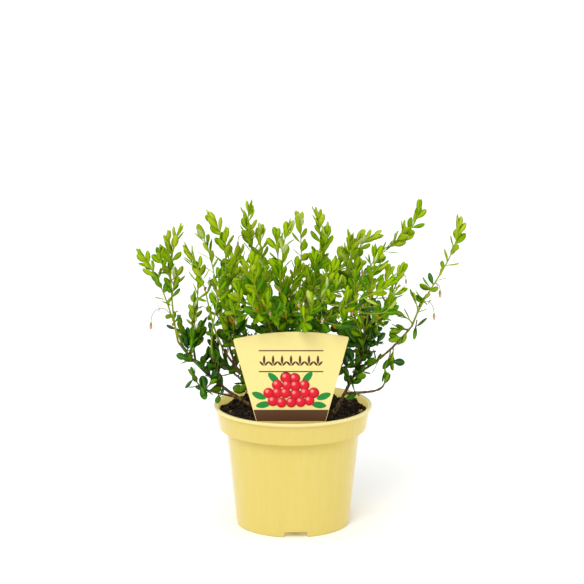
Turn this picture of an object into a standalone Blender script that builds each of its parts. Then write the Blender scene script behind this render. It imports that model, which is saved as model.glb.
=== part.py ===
"""A young cranberry plant in its nursery pot, with a fan-shaped plant card.

The origin is the centre of the pot's flat underside, +Z is up and -Y is the side that the card faces.
Everything is in metres.
"""

import math
from collections import namedtuple

import bmesh
import bpy
import numpy as np
from mathutils import Matrix, Vector, noise

# The pot is a 12 cm round nursery pot. Its other sizes are the real ones that go with that rim.
POT_HEIGHT = 0.0925
RIM_RADIUS = 0.060
COLLAR_TOP_RADIUS = 0.0584
COLLAR_FOOT_RADIUS = 0.0558
COLLAR_HEIGHT = 0.0180
BODY_TOP_RADIUS = 0.0507
BASE_RADIUS = 0.0432
POT_WALL = 0.0013
LIP_HEIGHT = 0.0026
CHANNEL_HEIGHT = 0.0043
CHANNEL_OUTER_RADIUS = 0.0412
CHANNEL_INNER_RADIUS = 0.0245
PAD_RADIUS = 0.0225
EDGE_ROUNDING = 0.0006
LIP_WIDTH = 0.0026
SHARP_EDGE = math.radians(35)
POT_STEPS = 32
NOTCH_COUNT = 4
NOTCH_WIDTH = 0.0175
NOTCH_TURN = math.radians(3)
NOTCH_DEPTH = 0.008
NOTCH_RELIEF = 0.0001
DRAIN_RADIUS = 0.0035
DRAIN_SIDES = 10
DRAIN_CENTRE_RADIUS = (CHANNEL_INNER_RADIUS + CHANNEL_OUTER_RADIUS) / 2

# Touching solids keep this much air between them.
GAP = 0.0003

# Peat fills the pot to just under the rim.
SOIL_LEVEL = 0.0868
SOIL_AIR = 0.0004
SOIL_DIP = 0.0030
SOIL_DIP_LENGTH = 0.012
SOIL_RINGS = 7
SOIL_STEPS = 24
SOIL_RING_STEP = 0.008

# The card is a flat fan that tapers down into the peat just inside the front of the rim, a little to the
# left of the pot's middle. Its arched top rises slightly to the right.
CARD_X = -0.0014
CARD_Y = -0.0454
CARD_THICKNESS = 0.0009
CARD_TOP = 0.1588
CARD_CORNER_HEIGHT = 0.1540
CARD_ARCH_RISE = 0.0008
CARD_TOP_HALF_WIDTH = 0.0427
CARD_RIM_HALF_WIDTH = 0.0262
CARD_SHOULDER = 0.0800
CARD_STAKE_TOP = 0.0770
CARD_STAKE_HALF_WIDTH = 0.0085
CARD_STAKE_TIP_HALF_WIDTH = 0.0035
CARD_STAKE_FOOT = 0.0570
CARD_CORNER_RADIUS = 0.0022
CARD_ARC_POINTS = 9
CARD_CLEARANCE = 0.0022

# Woody stems and boughs.
FOOT_LEVEL = SOIL_LEVEL + GAP
STEM_RADIUS = 0.00185
BOUGH_RADIUS = 0.00125
WOOD_TIP_RADIUS = 0.00095
ROOT_FLARE = 1.55
ROOT_FLARE_HEIGHT = 0.0035
WOOD_POINTS = 8
WOOD_SIDES = 5
LIMB_HANDLE = 0.36
TIP_LEAN = 0.22

# Green shoots and their leaves. Each leaf here is a little larger than life, since there are fewer.
# A leaf's width and thickness are shares of its length.
SHOOT_RADIUS = 0.00090
SHOOT_TIP_RADIUS = 0.00042
SHOOT_POINTS = 5
SHOOT_SIDES = 3
SIDE_SHOOT_RADIUS = 0.9
SIDE_SHOOT_FORK = (0.04, 0.50)
SIDE_SHOOT_REACH = (0.45, 1.0)
SIDE_SHOOT_DROP = (0.007, 0.045)
SIDE_SHOOT_MOST_DROP = 0.55
SIDE_SHOOT_TRIES = 6
SHOOT_AIR = 0.0065
CROWN_OVERREACH = 0.003
LEAF_LENGTH = 0.0128
LEAF_WIDTH = 0.44
LEAF_THICKNESS = 0.075
LEAF_LENGTH_PLAY = (0.82, 1.08)
LEAF_SPACING = 0.0080
LEAF_CROWDING = 0.86
LEAST_LEAVES = 3
LAST_LEAF = 0.985
LEAF_SPREAD_LOW = math.radians(62)
LEAF_SPREAD_HIGH = math.radians(26)
LEAF_SPREAD_PLAY = math.radians(9)
TIP_LEAF_SPREAD = 0.3
LEAF_ROLL = math.radians(30)
GOLDEN_ANGLE = math.radians(137.5)
CELL_MARGIN = 0.0010
WOOD_AIR = 0.0008
SEED = 7

# Where each stem stands in the pot.
STEM_FEET = {
    "right": (0.031, -0.008),
    "right_inner": (0.020, 0.010),
    "left": (-0.022, -0.006),
    "left_inner": (-0.012, 0.007),
    "centre": (0.000, -0.008),
    "back": (0.006, 0.027),
}

# Each clump of shoots has one leading limb, from its foot or fork to its highest tip.
# stem: the stem that it grows from. fork: how far along that stem's leading limb it forks, or 0 where
# it is the stem's own end. lean: how many degrees from upright it sets out, towards its tip.
# tip: the place of its highest tip. bare: the share of its way that is bare wood. shoots: how many
# side shoots it has. spread: how far they stand from it. tip_lean: how far its tip leans outwards.
Clump = namedtuple("Clump", "stem fork lean tip bare shoots spread tip_lean", defaults=(0.22,))
CLUMPS = {
    "right": Clump("right", 0.0, 27, (0.083, -0.016, 0.221), 0.36, 3, 0.017),
    "low_right": Clump("right", 0.11, 72, (0.070, -0.020, 0.116), 0.45, 1, 0.011),
    "far_right": Clump("right", 0.22, 60, (0.122, -0.008, 0.229), 0.42, 1, 0.011),
    "front_right": Clump("right", 0.30, 24, (0.062, -0.044, 0.210), 0.20, 3, 0.019),
    "high_right": Clump("right_inner", 0.0, 14, (0.091, 0.006, 0.240), 0.34, 2, 0.015, 0.75),
    "low_middle_right": Clump("right_inner", 0.12, 50, (0.060, -0.002, 0.149), 0.34, 2, 0.013),
    "back_right": Clump("right_inner", 0.20, 44, (0.074, 0.052, 0.208), 0.34, 3, 0.019),
    "middle_right": Clump("right_inner", 0.28, 22, (0.050, 0.016, 0.214), 0.24, 3, 0.017),
    "far_left": Clump("left", 0.0, 62, (-0.113, -0.010, 0.204), 0.50, 2, 0.013),
    "low_left": Clump("left", 0.13, 62, (-0.074, -0.022, 0.120), 0.45, 1, 0.012),
    "front_left": Clump("left", 0.24, 26, (-0.076, -0.038, 0.204), 0.26, 3, 0.017),
    "high_left": Clump("left", 0.42, 14, (-0.087, 0.010, 0.219), 0.12, 2, 0.013),
    "inner_left": Clump("left_inner", 0.0, 50, (-0.079, -0.012, 0.208), 0.38, 2, 0.013),
    "low_middle_left": Clump("left_inner", 0.14, 60, (-0.060, 0.010, 0.140), 0.34, 2, 0.013),
    "middle_left": Clump("left_inner", 0.24, 16, (-0.062, 0.000, 0.231), 0.24, 3, 0.017),
    "back_left": Clump("left_inner", 0.33, 40, (-0.070, 0.054, 0.206), 0.30, 3, 0.019),
    "centre_left": Clump("centre", 0.0, 8, (-0.032, 0.010, 0.237), 0.34, 3, 0.017),
    "centre_right": Clump("centre", 0.09, 18, (0.018, -0.002, 0.236), 0.28, 3, 0.017),
    "centre": Clump("centre", 0.16, 4, (-0.005, -0.026, 0.230), 0.26, 3, 0.016),
    "front_middle_left": Clump("centre", 0.22, 30, (-0.030, -0.060, 0.212), 0.32, 3, 0.018),
    "front_middle_right": Clump("centre", 0.29, 32, (0.026, -0.062, 0.210), 0.30, 3, 0.018),
    "back_middle": Clump("back", 0.0, 20, (0.002, 0.046, 0.220), 0.36, 3, 0.018),
    "low_back_left": Clump("back", 0.09, 58, (-0.040, 0.062, 0.140), 0.40, 2, 0.013),
    "low_back_right": Clump("back", 0.15, 58, (0.046, 0.060, 0.138), 0.40, 2, 0.013),
    "far_back_left": Clump("back", 0.23, 44, (-0.040, 0.082, 0.206), 0.32, 3, 0.019),
    "far_back_right": Clump("back", 0.30, 44, (0.038, 0.084, 0.208), 0.32, 3, 0.019),
}


def clear_scene():
    for obj in list(bpy.data.objects):
        bpy.data.objects.remove(obj)


def new_collection(name):
    collection = bpy.data.collections.new(name)
    bpy.context.scene.collection.children.link(collection)
    return collection


def remove_collection(collection):
    for obj in list(collection.objects):
        bpy.data.objects.remove(obj)
    bpy.data.collections.remove(collection)


def make_material(name, colour, roughness):
    material = bpy.data.materials.new(name)
    material.use_nodes = True
    shader = material.node_tree.nodes["Principled BSDF"]
    shader.inputs["Base Color"].default_value = (*colour, 1.0)
    shader.inputs["Roughness"].default_value = roughness
    shader.inputs["Metallic"].default_value = 0.0
    return material


def add_object(name, mesh, collection, material=None):
    obj = bpy.data.objects.new(name, mesh)
    collection.objects.link(obj)
    if material:
        mesh.materials.clear()
        mesh.materials.append(material)
    return obj


def evaluated_mesh(obj):
    """The object's mesh with its modifiers applied, in its own space."""
    bpy.context.view_layer.update()
    return bpy.data.meshes.new_from_object(obj.evaluated_get(bpy.context.evaluated_depsgraph_get()))


def apply_modifiers(obj):
    mesh = evaluated_mesh(obj)
    obj.modifiers.clear()
    obj.data = mesh


def turned_object(name, profile, steps, collection, material):
    """A chain of (radius, height) points that runs from axis to axis, turned about Z by a Screw modifier."""
    mesh = bpy.data.meshes.new(name)
    points = [(radius, 0.0, height) for radius, height in profile]
    mesh.from_pydata(points, [(i, i + 1) for i in range(len(points) - 1)], [])
    obj = add_object(name, mesh, collection, material)
    screw = obj.modifiers.new("turn", "SCREW")
    screw.steps = screw.render_steps = steps
    screw.use_merge_vertices = True
    screw.merge_threshold = 0.00005
    apply_modifiers(obj)
    return obj


def cut(obj, cutters):
    """Cuts every object of a collection out of obj."""
    modifier = obj.modifiers.new("cut", "BOOLEAN")
    modifier.operation = "DIFFERENCE"
    modifier.solver = "EXACT"
    modifier.operand_type = "COLLECTION"
    modifier.collection = cutters
    apply_modifiers(obj)


def hide_helper(obj):
    obj.hide_render = True
    obj.display_type = "WIRE"


def body_radius(height):
    """The outer radius of the pot's body below its collar."""
    return BASE_RADIUS + (BODY_TOP_RADIUS - BASE_RADIUS) * height / (POT_HEIGHT - COLLAR_HEIGHT)


def pot_inner_radius(height):
    """The radius inside the pot's wall: the body's up to the collar's ledge, and the collar's above it."""
    ledge = POT_HEIGHT - COLLAR_HEIGHT + POT_WALL
    if height < ledge:
        return body_radius(height) - POT_WALL
    share = (height - ledge) / (POT_HEIGHT - ledge)
    return COLLAR_FOOT_RADIUS + (COLLAR_TOP_RADIUS - COLLAR_FOOT_RADIUS) * share - POT_WALL


def pot_profile():
    """The pot's section, from the middle of its floor up the inside, over the lip and down the outside."""
    floor = CHANNEL_HEIGHT + POT_WALL
    collar_foot = POT_HEIGHT - COLLAR_HEIGHT
    ledge = collar_foot + POT_WALL
    lip_foot = POT_HEIGHT - LIP_HEIGHT
    inside = [
        (0.0, POT_WALL),
        (PAD_RADIUS - POT_WALL / 2, POT_WALL),
        (CHANNEL_INNER_RADIUS - POT_WALL / 2, floor),
        (pot_inner_radius(floor), floor),
        (body_radius(ledge) - POT_WALL, ledge),
        (pot_inner_radius(ledge), ledge),
        (RIM_RADIUS - LIP_WIDTH, POT_HEIGHT - EDGE_ROUNDING),
    ]
    lip = [
        (RIM_RADIUS - LIP_WIDTH + EDGE_ROUNDING, POT_HEIGHT),
        (RIM_RADIUS - EDGE_ROUNDING, POT_HEIGHT),
        (RIM_RADIUS, POT_HEIGHT - EDGE_ROUNDING),
        (RIM_RADIUS, lip_foot + EDGE_ROUNDING),
    ]
    outside = [
        (COLLAR_TOP_RADIUS, lip_foot),
        (COLLAR_FOOT_RADIUS, collar_foot + EDGE_ROUNDING),
        (COLLAR_FOOT_RADIUS - EDGE_ROUNDING, collar_foot),
        (BODY_TOP_RADIUS, collar_foot - EDGE_ROUNDING),
        (BASE_RADIUS, EDGE_ROUNDING),
        (BASE_RADIUS - EDGE_ROUNDING, 0.0),
        (CHANNEL_OUTER_RADIUS, 0.0),
        (CHANNEL_OUTER_RADIUS - EDGE_ROUNDING, CHANNEL_HEIGHT),
        (CHANNEL_INNER_RADIUS, CHANNEL_HEIGHT),
        (PAD_RADIUS, 0.0),
        (0.0, 0.0),
    ]
    return inside + lip + outside


def make_pot(parts, cutters, material):
    """The pot, with four notches through its foot ring and a drain hole above the channel behind each."""
    pot = turned_object("pot", pot_profile(), POT_STEPS, parts, material)
    for number in range(NOTCH_COUNT):
        turn = Matrix.Rotation(NOTCH_TURN - math.pi / 2 + number * 2 * math.pi / NOTCH_COUNT, 4, "Z")
        bpy.ops.mesh.primitive_cube_add(size=1.0)
        size = Matrix.Diagonal((NOTCH_DEPTH, NOTCH_WIDTH, 2 * CHANNEL_HEIGHT, 1.0))
        place_cutter(cutters, turn @ Matrix.Translation((BASE_RADIUS, 0.0, -NOTCH_RELIEF)) @ size)
        bpy.ops.mesh.primitive_cylinder_add(vertices=DRAIN_SIDES, radius=DRAIN_RADIUS, depth=6 * POT_WALL)
        place_cutter(cutters, turn @ Matrix.Translation((DRAIN_CENTRE_RADIUS, 0.0, CHANNEL_HEIGHT)))
    cut(pot, cutters)
    pot.data.shade_smooth()
    pot.data.set_sharp_from_angle(angle=SHARP_EDGE)


def place_cutter(cutters, matrix):
    """Moves the primitive that was just added to its place among the cutters."""
    cutter = bpy.context.object
    for collection in list(cutter.users_collection):
        collection.objects.unlink(cutter)
    cutters.objects.link(cutter)
    cutter.matrix_world = matrix
    hide_helper(cutter)


def soil_height(x, y):
    """The height of the peat's lumpy top, which is level where a stem stands on it."""
    nearest_foot = min(math.dist((x, y), foot) for foot in STEM_FEET.values())
    away = min(1.0, max(0.0, nearest_foot / SOIL_RING_STEP - 1.0))
    return SOIL_LEVEL - SOIL_DIP * away * abs(noise.noise(Vector((x, y, 0.037)) / SOIL_DIP_LENGTH))


def make_soil(parts, cutters, material):
    """The peat: a turned plug that fills the pot, with a lumpy top and the card's slot cut in it."""
    ledge = POT_HEIGHT - COLLAR_HEIGHT + POT_WALL
    floor = CHANNEL_HEIGHT + POT_WALL
    top_radius = pot_inner_radius(SOIL_LEVEL) - SOIL_AIR
    top = [(top_radius * ring / SOIL_RINGS, SOIL_LEVEL) for ring in range(SOIL_RINGS + 1)]
    side = [
        (pot_inner_radius(ledge) - SOIL_AIR, ledge + SOIL_AIR),
        (body_radius(ledge) - POT_WALL - SOIL_AIR, ledge + SOIL_AIR),
        (pot_inner_radius(floor) - SOIL_AIR, floor + SOIL_AIR),
        (CHANNEL_INNER_RADIUS - POT_WALL / 2 - SOIL_AIR, floor + SOIL_AIR),
        (PAD_RADIUS - POT_WALL / 2 - 2 * SOIL_AIR, POT_WALL + SOIL_AIR),
        (0.0, POT_WALL + SOIL_AIR),
    ]
    soil = turned_object("soil", top + side, SOIL_STEPS, parts, material)
    for vertex in soil.data.vertices:
        if vertex.co.z > SOIL_LEVEL - SOIL_AIR:
            vertex.co.z = soil_height(vertex.co.x, vertex.co.y)
    cut(soil, cutters)


def card_half_width(height):
    """Half the card's width at a height between its stake and its upper corners."""
    share = (height - POT_HEIGHT) / (CARD_CORNER_HEIGHT - POT_HEIGHT)
    return CARD_RIM_HALF_WIDTH + (CARD_TOP_HALF_WIDTH - CARD_RIM_HALF_WIDTH) * share


def card_outline(grow=0.0):
    """The card's outline as (x, z) points: an arched top, straight sides and a pointed stake."""
    rise = CARD_TOP - CARD_CORNER_HEIGHT
    arc_radius = (CARD_TOP_HALF_WIDTH**2 + rise**2) / (2 * rise)
    arc_centre = CARD_TOP - arc_radius
    half_turn = math.asin((CARD_TOP_HALF_WIDTH - CARD_CORNER_RADIUS) / arc_radius)
    turns = np.linspace(half_turn, -half_turn, CARD_ARC_POINTS)
    arch = [(arc_radius * math.sin(turn), arc_centre + arc_radius * math.cos(turn)) for turn in turns]
    arch = [(x, z + CARD_ARCH_RISE * x / CARD_TOP_HALF_WIDTH) for x, z in arch]
    corner = CARD_CORNER_HEIGHT - CARD_CORNER_RADIUS
    right = [
        (CARD_STAKE_TIP_HALF_WIDTH + grow, CARD_STAKE_FOOT - grow),
        (CARD_STAKE_HALF_WIDTH + grow, CARD_STAKE_TOP - grow),
        (card_half_width(CARD_SHOULDER) + grow, CARD_SHOULDER - grow),
        (card_half_width(corner) + grow, corner),
    ]
    left = [(-x, z) for x, z in reversed(right)]
    return right + arch + left


def flat_plate(name, outline, thickness, collection, material=None):
    """A filled 2D curve with an extrude of half its thickness, stood up at the card's place."""
    curve = bpy.data.curves.new(name, "CURVE")
    curve.dimensions = "2D"
    curve.fill_mode = "BOTH"
    curve.extrude = thickness / 2
    spline = curve.splines.new("POLY")
    spline.points.add(len(outline) - 1)
    for point, (x, z) in zip(spline.points, outline):
        point.co = (x, z, 0.0, 1.0)
    spline.use_cyclic_u = True
    shape = bpy.data.objects.new(name + "_curve", curve)
    collection.objects.link(shape)
    shape.matrix_world = Matrix.Translation((CARD_X, CARD_Y, 0.0)) @ Matrix.Rotation(math.pi / 2, 4, "X")
    return curve_to_solid(name, shape, collection, material)


def curve_to_solid(name, shape, collection, material=None):
    """A closed mesh object made from a curve, which is then removed."""
    mesh = evaluated_mesh(shape)
    mesh.name = name
    mesh.transform(shape.matrix_world)
    bpy.data.objects.remove(shape)
    work = bmesh.new()
    work.from_mesh(mesh)
    bmesh.ops.remove_doubles(work, verts=work.verts, dist=1e-6)
    bmesh.ops.recalc_face_normals(work, faces=work.faces)
    work.to_mesh(mesh)
    work.free()
    return add_object(name, mesh, collection, material)


def make_card(parts, cutters, material):
    """The card, and the slot in the peat that it stands in."""
    flat_plate("card", card_outline(), CARD_THICKNESS, parts, material)
    hide_helper(flat_plate("card_slot", card_outline(GAP), CARD_THICKNESS + 2 * GAP, cutters))


def unit(vector):
    """The vector at length one."""
    vector = np.asarray(vector, float)
    return vector / np.linalg.norm(vector)


def bezier(ends, share):
    """Points of a cubic Bezier with four control points, at an array of shares of its way."""
    share = np.atleast_1d(share)[:, None]
    rest = 1 - share
    first, second, third, last = (np.asarray(end, float) for end in ends)
    return rest**3 * first + 3 * rest**2 * share * second + 3 * rest * share**2 * third + share**3 * last


def bezier_direction(ends, share):
    """The unit vector along a cubic Bezier at a share of its way."""
    near = bezier(ends, np.clip(share - 0.01, 0, 1))[0]
    far = bezier(ends, np.clip(share + 0.01, 0, 1))[0]
    return unit(far - near)


def growth_curve(start, start_way, tip, end_way):
    """The way that a limb grows: it leaves along start_way and bends round to end_way at its tip."""
    handle = LIMB_HANDLE * np.linalg.norm(np.subtract(tip, start))
    return (
        np.asarray(start, float),
        np.asarray(start, float) + handle * unit(start_way),
        np.asarray(tip, float) - handle * unit(end_way),
        np.asarray(tip, float),
    )


def level(vector):
    """The unit vector of the level part of a vector."""
    return unit((vector[0], vector[1], 0.0))


def clump_curves():
    """Each clump's leading limb, from its foot or fork to its highest tip."""
    curves = {}
    leaders = {}
    for name, clump in CLUMPS.items():
        if clump.fork == 0.0:
            start = np.array([*STEM_FEET[clump.stem], FOOT_LEVEL])
        else:
            start = bezier(leaders[clump.stem], clump.fork)[0]
        lean = math.radians(clump.lean)
        start_way = math.sin(lean) * level(clump.tip - start) + (0, 0, math.cos(lean))
        end_way = clump.tip_lean * level(clump.tip) + (0, 0, 1)
        curves[name] = growth_curve(start, start_way, clump.tip, end_way)
        if clump.fork == 0.0:
            leaders[clump.stem] = curves[name]
    return curves


def profile_curve(sides):
    """A closed ring of points, used as the section of every tube with that many sides."""
    curve = bpy.data.curves.new(f"section_{sides}", "CURVE")
    curve.dimensions = "3D"
    spline = curve.splines.new("POLY")
    spline.points.add(sides - 1)
    for number, point in enumerate(spline.points):
        turn = 2 * math.pi * number / sides
        point.co = (math.cos(turn), math.sin(turn), 0.0, 1.0)
    spline.use_cyclic_u = True
    section = bpy.data.objects.new(curve.name, curve)
    bpy.context.scene.collection.objects.link(section)
    hide_helper(section)
    return section


def tube(name, points, radii, section, collection, material=None):
    """A tapering tube along points, with flat ends."""
    curve = bpy.data.curves.new(name, "CURVE")
    curve.dimensions = "3D"
    curve.bevel_mode = "OBJECT"
    curve.bevel_object = section
    curve.use_fill_caps = True
    spline = curve.splines.new("POLY")
    spline.points.add(len(points) - 1)
    for point, place, radius in zip(spline.points, points, radii):
        point.co = (*place, 1.0)
        point.radius = radius
    shape = bpy.data.objects.new(name + "_curve", curve)
    collection.objects.link(shape)
    return curve_to_solid(name, shape, collection, material)


def wood_line(name, curve, extra=0.0):
    """(points, radii) of a clump's bare wood, with a straight taper and, on a stem, a root flare."""
    is_stem = CLUMPS[name].fork == 0.0
    shares = np.linspace(0, 1, WOOD_POINTS)
    base = STEM_RADIUS if is_stem else BOUGH_RADIUS
    points = bezier(curve, shares * CLUMPS[name].bare)
    radii = base + (WOOD_TIP_RADIUS - base) * shares
    if is_stem:
        points[:, 2] += ROOT_FLARE_HEIGHT * (1 - shares)
        points = np.insert(points, 0, bezier(curve, 0.0), axis=0)
        radii = np.insert(radii, 0, STEM_RADIUS * ROOT_FLARE)
    return points, radii + extra


def make_wood(curves, parts, sections, material):
    """Every stem and bough. A bough is cut off 0.3 mm clear of its stem and of the boughs before it."""
    grown = {stem: new_collection("grown_" + stem) for stem in STEM_FEET}
    for name, clump in CLUMPS.items():
        points, radii = wood_line(name, curves[name])
        kind = "stem_" + clump.stem if clump.fork == 0.0 else "bough_" + name
        limb = tube(kind, points, radii, sections[WOOD_SIDES], parts, material)
        if clump.fork > 0.0:
            cut(limb, grown[clump.stem])
            keep_largest_body(limb.data)
        points, radii = wood_line(name, curves[name], GAP)
        tube("grown_" + kind, points, radii, sections[WOOD_SIDES], grown[clump.stem])
    for collection in grown.values():
        remove_collection(collection)


def polyline(ends, start_share):
    """The axis of a shoot's tube: points at even shares of its curve."""
    return bezier(ends, np.linspace(start_share, 1, SHOOT_POINTS))


def point_on(ends, start_share, share):
    """The point of a shoot's tube axis at a share of its whole curve."""
    line = polyline(ends, start_share)
    knots = np.linspace(start_share, 1, SHOOT_POINTS)
    return np.array([np.interp(share, knots, line[:, axis]) for axis in range(3)])


def distances(points, lines):
    """The least distance of each point from any of a list of polylines."""
    if not lines:
        return np.full(len(points), np.inf)
    starts = np.vstack([line[:-1] for line in lines])
    steps = np.vstack([line[1:] for line in lines]) - starts
    away = points[:, None, :] - starts[None, :, :]
    share = np.clip((away * steps).sum(2) / (steps * steps).sum(1), 0, 1)
    return np.linalg.norm(away - share[..., None] * steps, axis=2).min(axis=1)


def side_shoot(rng, turn, leader, start_share, spread):
    """One side shoot: it forks from the lower half of its clump's leader and stands beside its tip."""
    fork = start_share + (1 - start_share) * rng.uniform(*SIDE_SHOOT_FORK)
    outward = np.array([math.cos(turn), math.sin(turn), 0.0])
    start = point_on(leader, start_share, fork)
    drop = min(rng.uniform(*SIDE_SHOOT_DROP), SIDE_SHOOT_MOST_DROP * (leader[3][2] - start[2]))
    tip = leader[3] + spread * rng.uniform(*SIDE_SHOOT_REACH) * outward - (0, 0, drop)
    start_way = bezier_direction(leader, fork) + unit(tip - start) + outward
    return growth_curve(start, start_way, tip, TIP_LEAN * outward + (0, 0, 1))


def grow_shoots(curves):
    """Each clump's green shoots as (curve, share where it starts): the leader, then its side shoots.

    A side shoot stays only where it is clear of the others and of the card, and inside the crown.
    """
    shoots = {}
    for name, clump in CLUMPS.items():
        length = polyline_length(polyline(curves[name], 0.0))
        shoots[name] = [(curves[name], clump.bare + 2 * GAP / length)]
    rng = np.random.default_rng(SEED)
    for name, clump in CLUMPS.items():
        leader, start_share = shoots[name][0]
        phase = rng.uniform(0, 2 * math.pi)
        others = [polyline(*other) for key in shoots if key != name for other in shoots[key]]
        for number in range(SIDE_SHOOT_TRIES * clump.shoots):
            shoot = side_shoot(rng, phase + number * GOLDEN_ANGLE, leader, start_share, clump.spread)
            line = polyline(shoot, 0.0)
            own = [polyline(*other) for other in shoots[name]]
            air = min(distances(line, others).min(), distances(line[-2:], own).min())
            reach = math.hypot(*shoot[3][:2]) - math.hypot(*clump.tip[:2])
            if air > SHOOT_AIR and reach < CROWN_OVERREACH and clear_of_card(line, SHOOT_AIR):
                shoots[name].append((shoot, 0.0))
            if len(shoots[name]) > clump.shoots:
                break
    return shoots


def polyline_length(points):
    return float(np.linalg.norm(np.diff(points, axis=0), axis=1).sum())


def clear_of_card(points, air):
    """True where no point is within the air of the card, seen as a slab from the peat to its top."""
    near = np.abs(points[:, 1] - CARD_Y) < CARD_THICKNESS / 2 + air
    beside = np.abs(points[:, 0] - CARD_X) < CARD_TOP_HALF_WIDTH + air
    return not np.any(near & beside & (points[:, 2] < CARD_TOP + air))


def leaf_places(shoot, start_share, rng):
    """The leaves along a shoot as (root, frame, length): a spiral that closes up towards the tip."""
    length = polyline_length(polyline(shoot, start_share))
    count = max(LEAST_LEAVES, round(length / LEAF_SPACING))
    phase = rng.uniform(0, 2 * math.pi)
    for number in range(count):
        along = (number + 0.9) / count
        share = start_share + (1 - start_share) * min(along**LEAF_CROWDING, LAST_LEAF)
        axis = bezier_direction(shoot, share)
        side = unit(np.cross(axis, (0, 1, 0)))
        turn = phase + number * GOLDEN_ANGLE
        radial = math.cos(turn) * side + math.sin(turn) * np.cross(axis, side)
        spread = LEAF_SPREAD_LOW + (LEAF_SPREAD_HIGH - LEAF_SPREAD_LOW) * along
        spread += rng.uniform(-LEAF_SPREAD_PLAY, LEAF_SPREAD_PLAY)
        if number == count - 1:
            spread *= TIP_LEAF_SPREAD
        way = math.cos(spread) * axis + math.sin(spread) * radial
        face = unit(axis - np.dot(axis, way) * way)
        roll = rng.uniform(-LEAF_ROLL, LEAF_ROLL)
        face = math.cos(roll) * face + math.sin(roll) * np.cross(way, face)
        frame = np.column_stack([np.cross(way, face), way, face])
        yield point_on(shoot, start_share, share), frame, LEAF_LENGTH * rng.uniform(*LEAF_LENGTH_PLAY)


def leaf_mesh():
    """A leaf one metre long along +Y from its root: a double pyramid, flat above and keeled below."""
    work = bmesh.new()
    bmesh.ops.create_uvsphere(work, u_segments=3, v_segments=2, radius=0.5)
    ring_width = math.sqrt(3) / 2
    ring_height = 3 / 4
    shape = (
        Matrix.Translation((0.0, 0.5, 0.0))
        @ Matrix.Diagonal((LEAF_WIDTH / ring_width, 1.0, LEAF_THICKNESS / ring_height, 1.0))
        @ Matrix.Rotation(-math.pi / 2, 4, "X")
        @ Matrix.Rotation(math.pi / 2, 4, "Z")
    )
    bmesh.ops.transform(work, matrix=shape, verts=work.verts)
    mesh = bpy.data.meshes.new("leaf")
    work.to_mesh(mesh)
    work.free()
    return mesh


def leaf_fits(corners, own, others, wood):
    """True where a leaf keeps to its clump's own space, clear of limbs, card, soil and pot."""
    if np.any(distances(corners, others) < distances(corners, own) + CELL_MARGIN):
        return False
    if distances(corners, wood).min() < STEM_RADIUS + WOOD_AIR:
        return False
    if np.any(corners[:, 2] < POT_HEIGHT + GAP):
        return False
    return clear_of_card(corners, CARD_CLEARANCE)


def make_foliage(name, shoots, wood, parts, section, leaf, material, rng):
    """One clump: its shoots and the leaves that fit, joined by one union. Returns how many leaves."""
    own = [polyline(*shoot) for shoot in shoots[name]]
    others = [polyline(*shoot) for key in shoots if key != name for shoot in shoots[key]]
    radii = np.linspace(SHOOT_RADIUS, SHOOT_TIP_RADIUS, SHOOT_POINTS)
    body = tube("foliage_" + name, own[0], radii, section, parts, material)
    pieces = new_collection("pieces_" + name)
    for line in own[1:]:
        tube("twig_" + name, line, SIDE_SHOOT_RADIUS * radii, section, pieces)
    leaves = 0
    for shoot in shoots[name]:
        for root, frame, length in leaf_places(*shoot, rng):
            matrix = Matrix.Translation(root) @ Matrix(frame).to_4x4() @ Matrix.Scale(length, 4)
            corners = np.array([matrix @ vertex.co for vertex in leaf.vertices])
            if leaf_fits(corners, own, others, wood):
                add_object("leaf_" + name, leaf.copy(), pieces).matrix_world = matrix
                leaves += 1
    fuse = body.modifiers.new("fuse", "BOOLEAN")
    fuse.operation = "UNION"
    fuse.operand_type = "COLLECTION"
    fuse.solver = "MANIFOLD"
    fuse.collection = pieces
    apply_modifiers(body)
    remove_collection(pieces)
    keep_largest_body(body.data)
    return leaves


def keep_largest_body(mesh):
    """Drops sealed hollows and loose scraps: only the body with the most volume stays."""
    work = bmesh.new()
    work.from_mesh(mesh)
    unseen = set(work.faces)
    bodies = []
    while unseen:
        front = [unseen.pop()]
        body = []
        while front:
            face = front.pop()
            body.append(face)
            for edge in face.edges:
                for other in edge.link_faces:
                    if other in unseen:
                        unseen.remove(other)
                        front.append(other)
        bodies.append(body)
    bodies.sort(key=signed_volume)
    for body in bodies[:-1]:
        bmesh.ops.delete(work, geom=body, context="FACES")
    loose = [vertex for vertex in work.verts if not vertex.link_faces]
    bmesh.ops.delete(work, geom=loose, context="VERTS")
    work.to_mesh(mesh)
    work.free()


def signed_volume(faces):
    """Six times the volume inside a set of faces, below zero where they face inwards."""
    total = 0.0
    for face in faces:
        corners = [vertex.co for vertex in face.verts]
        for second, third in zip(corners[1:], corners[2:]):
            total += corners[0].dot(second.cross(third))
    return total


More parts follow.
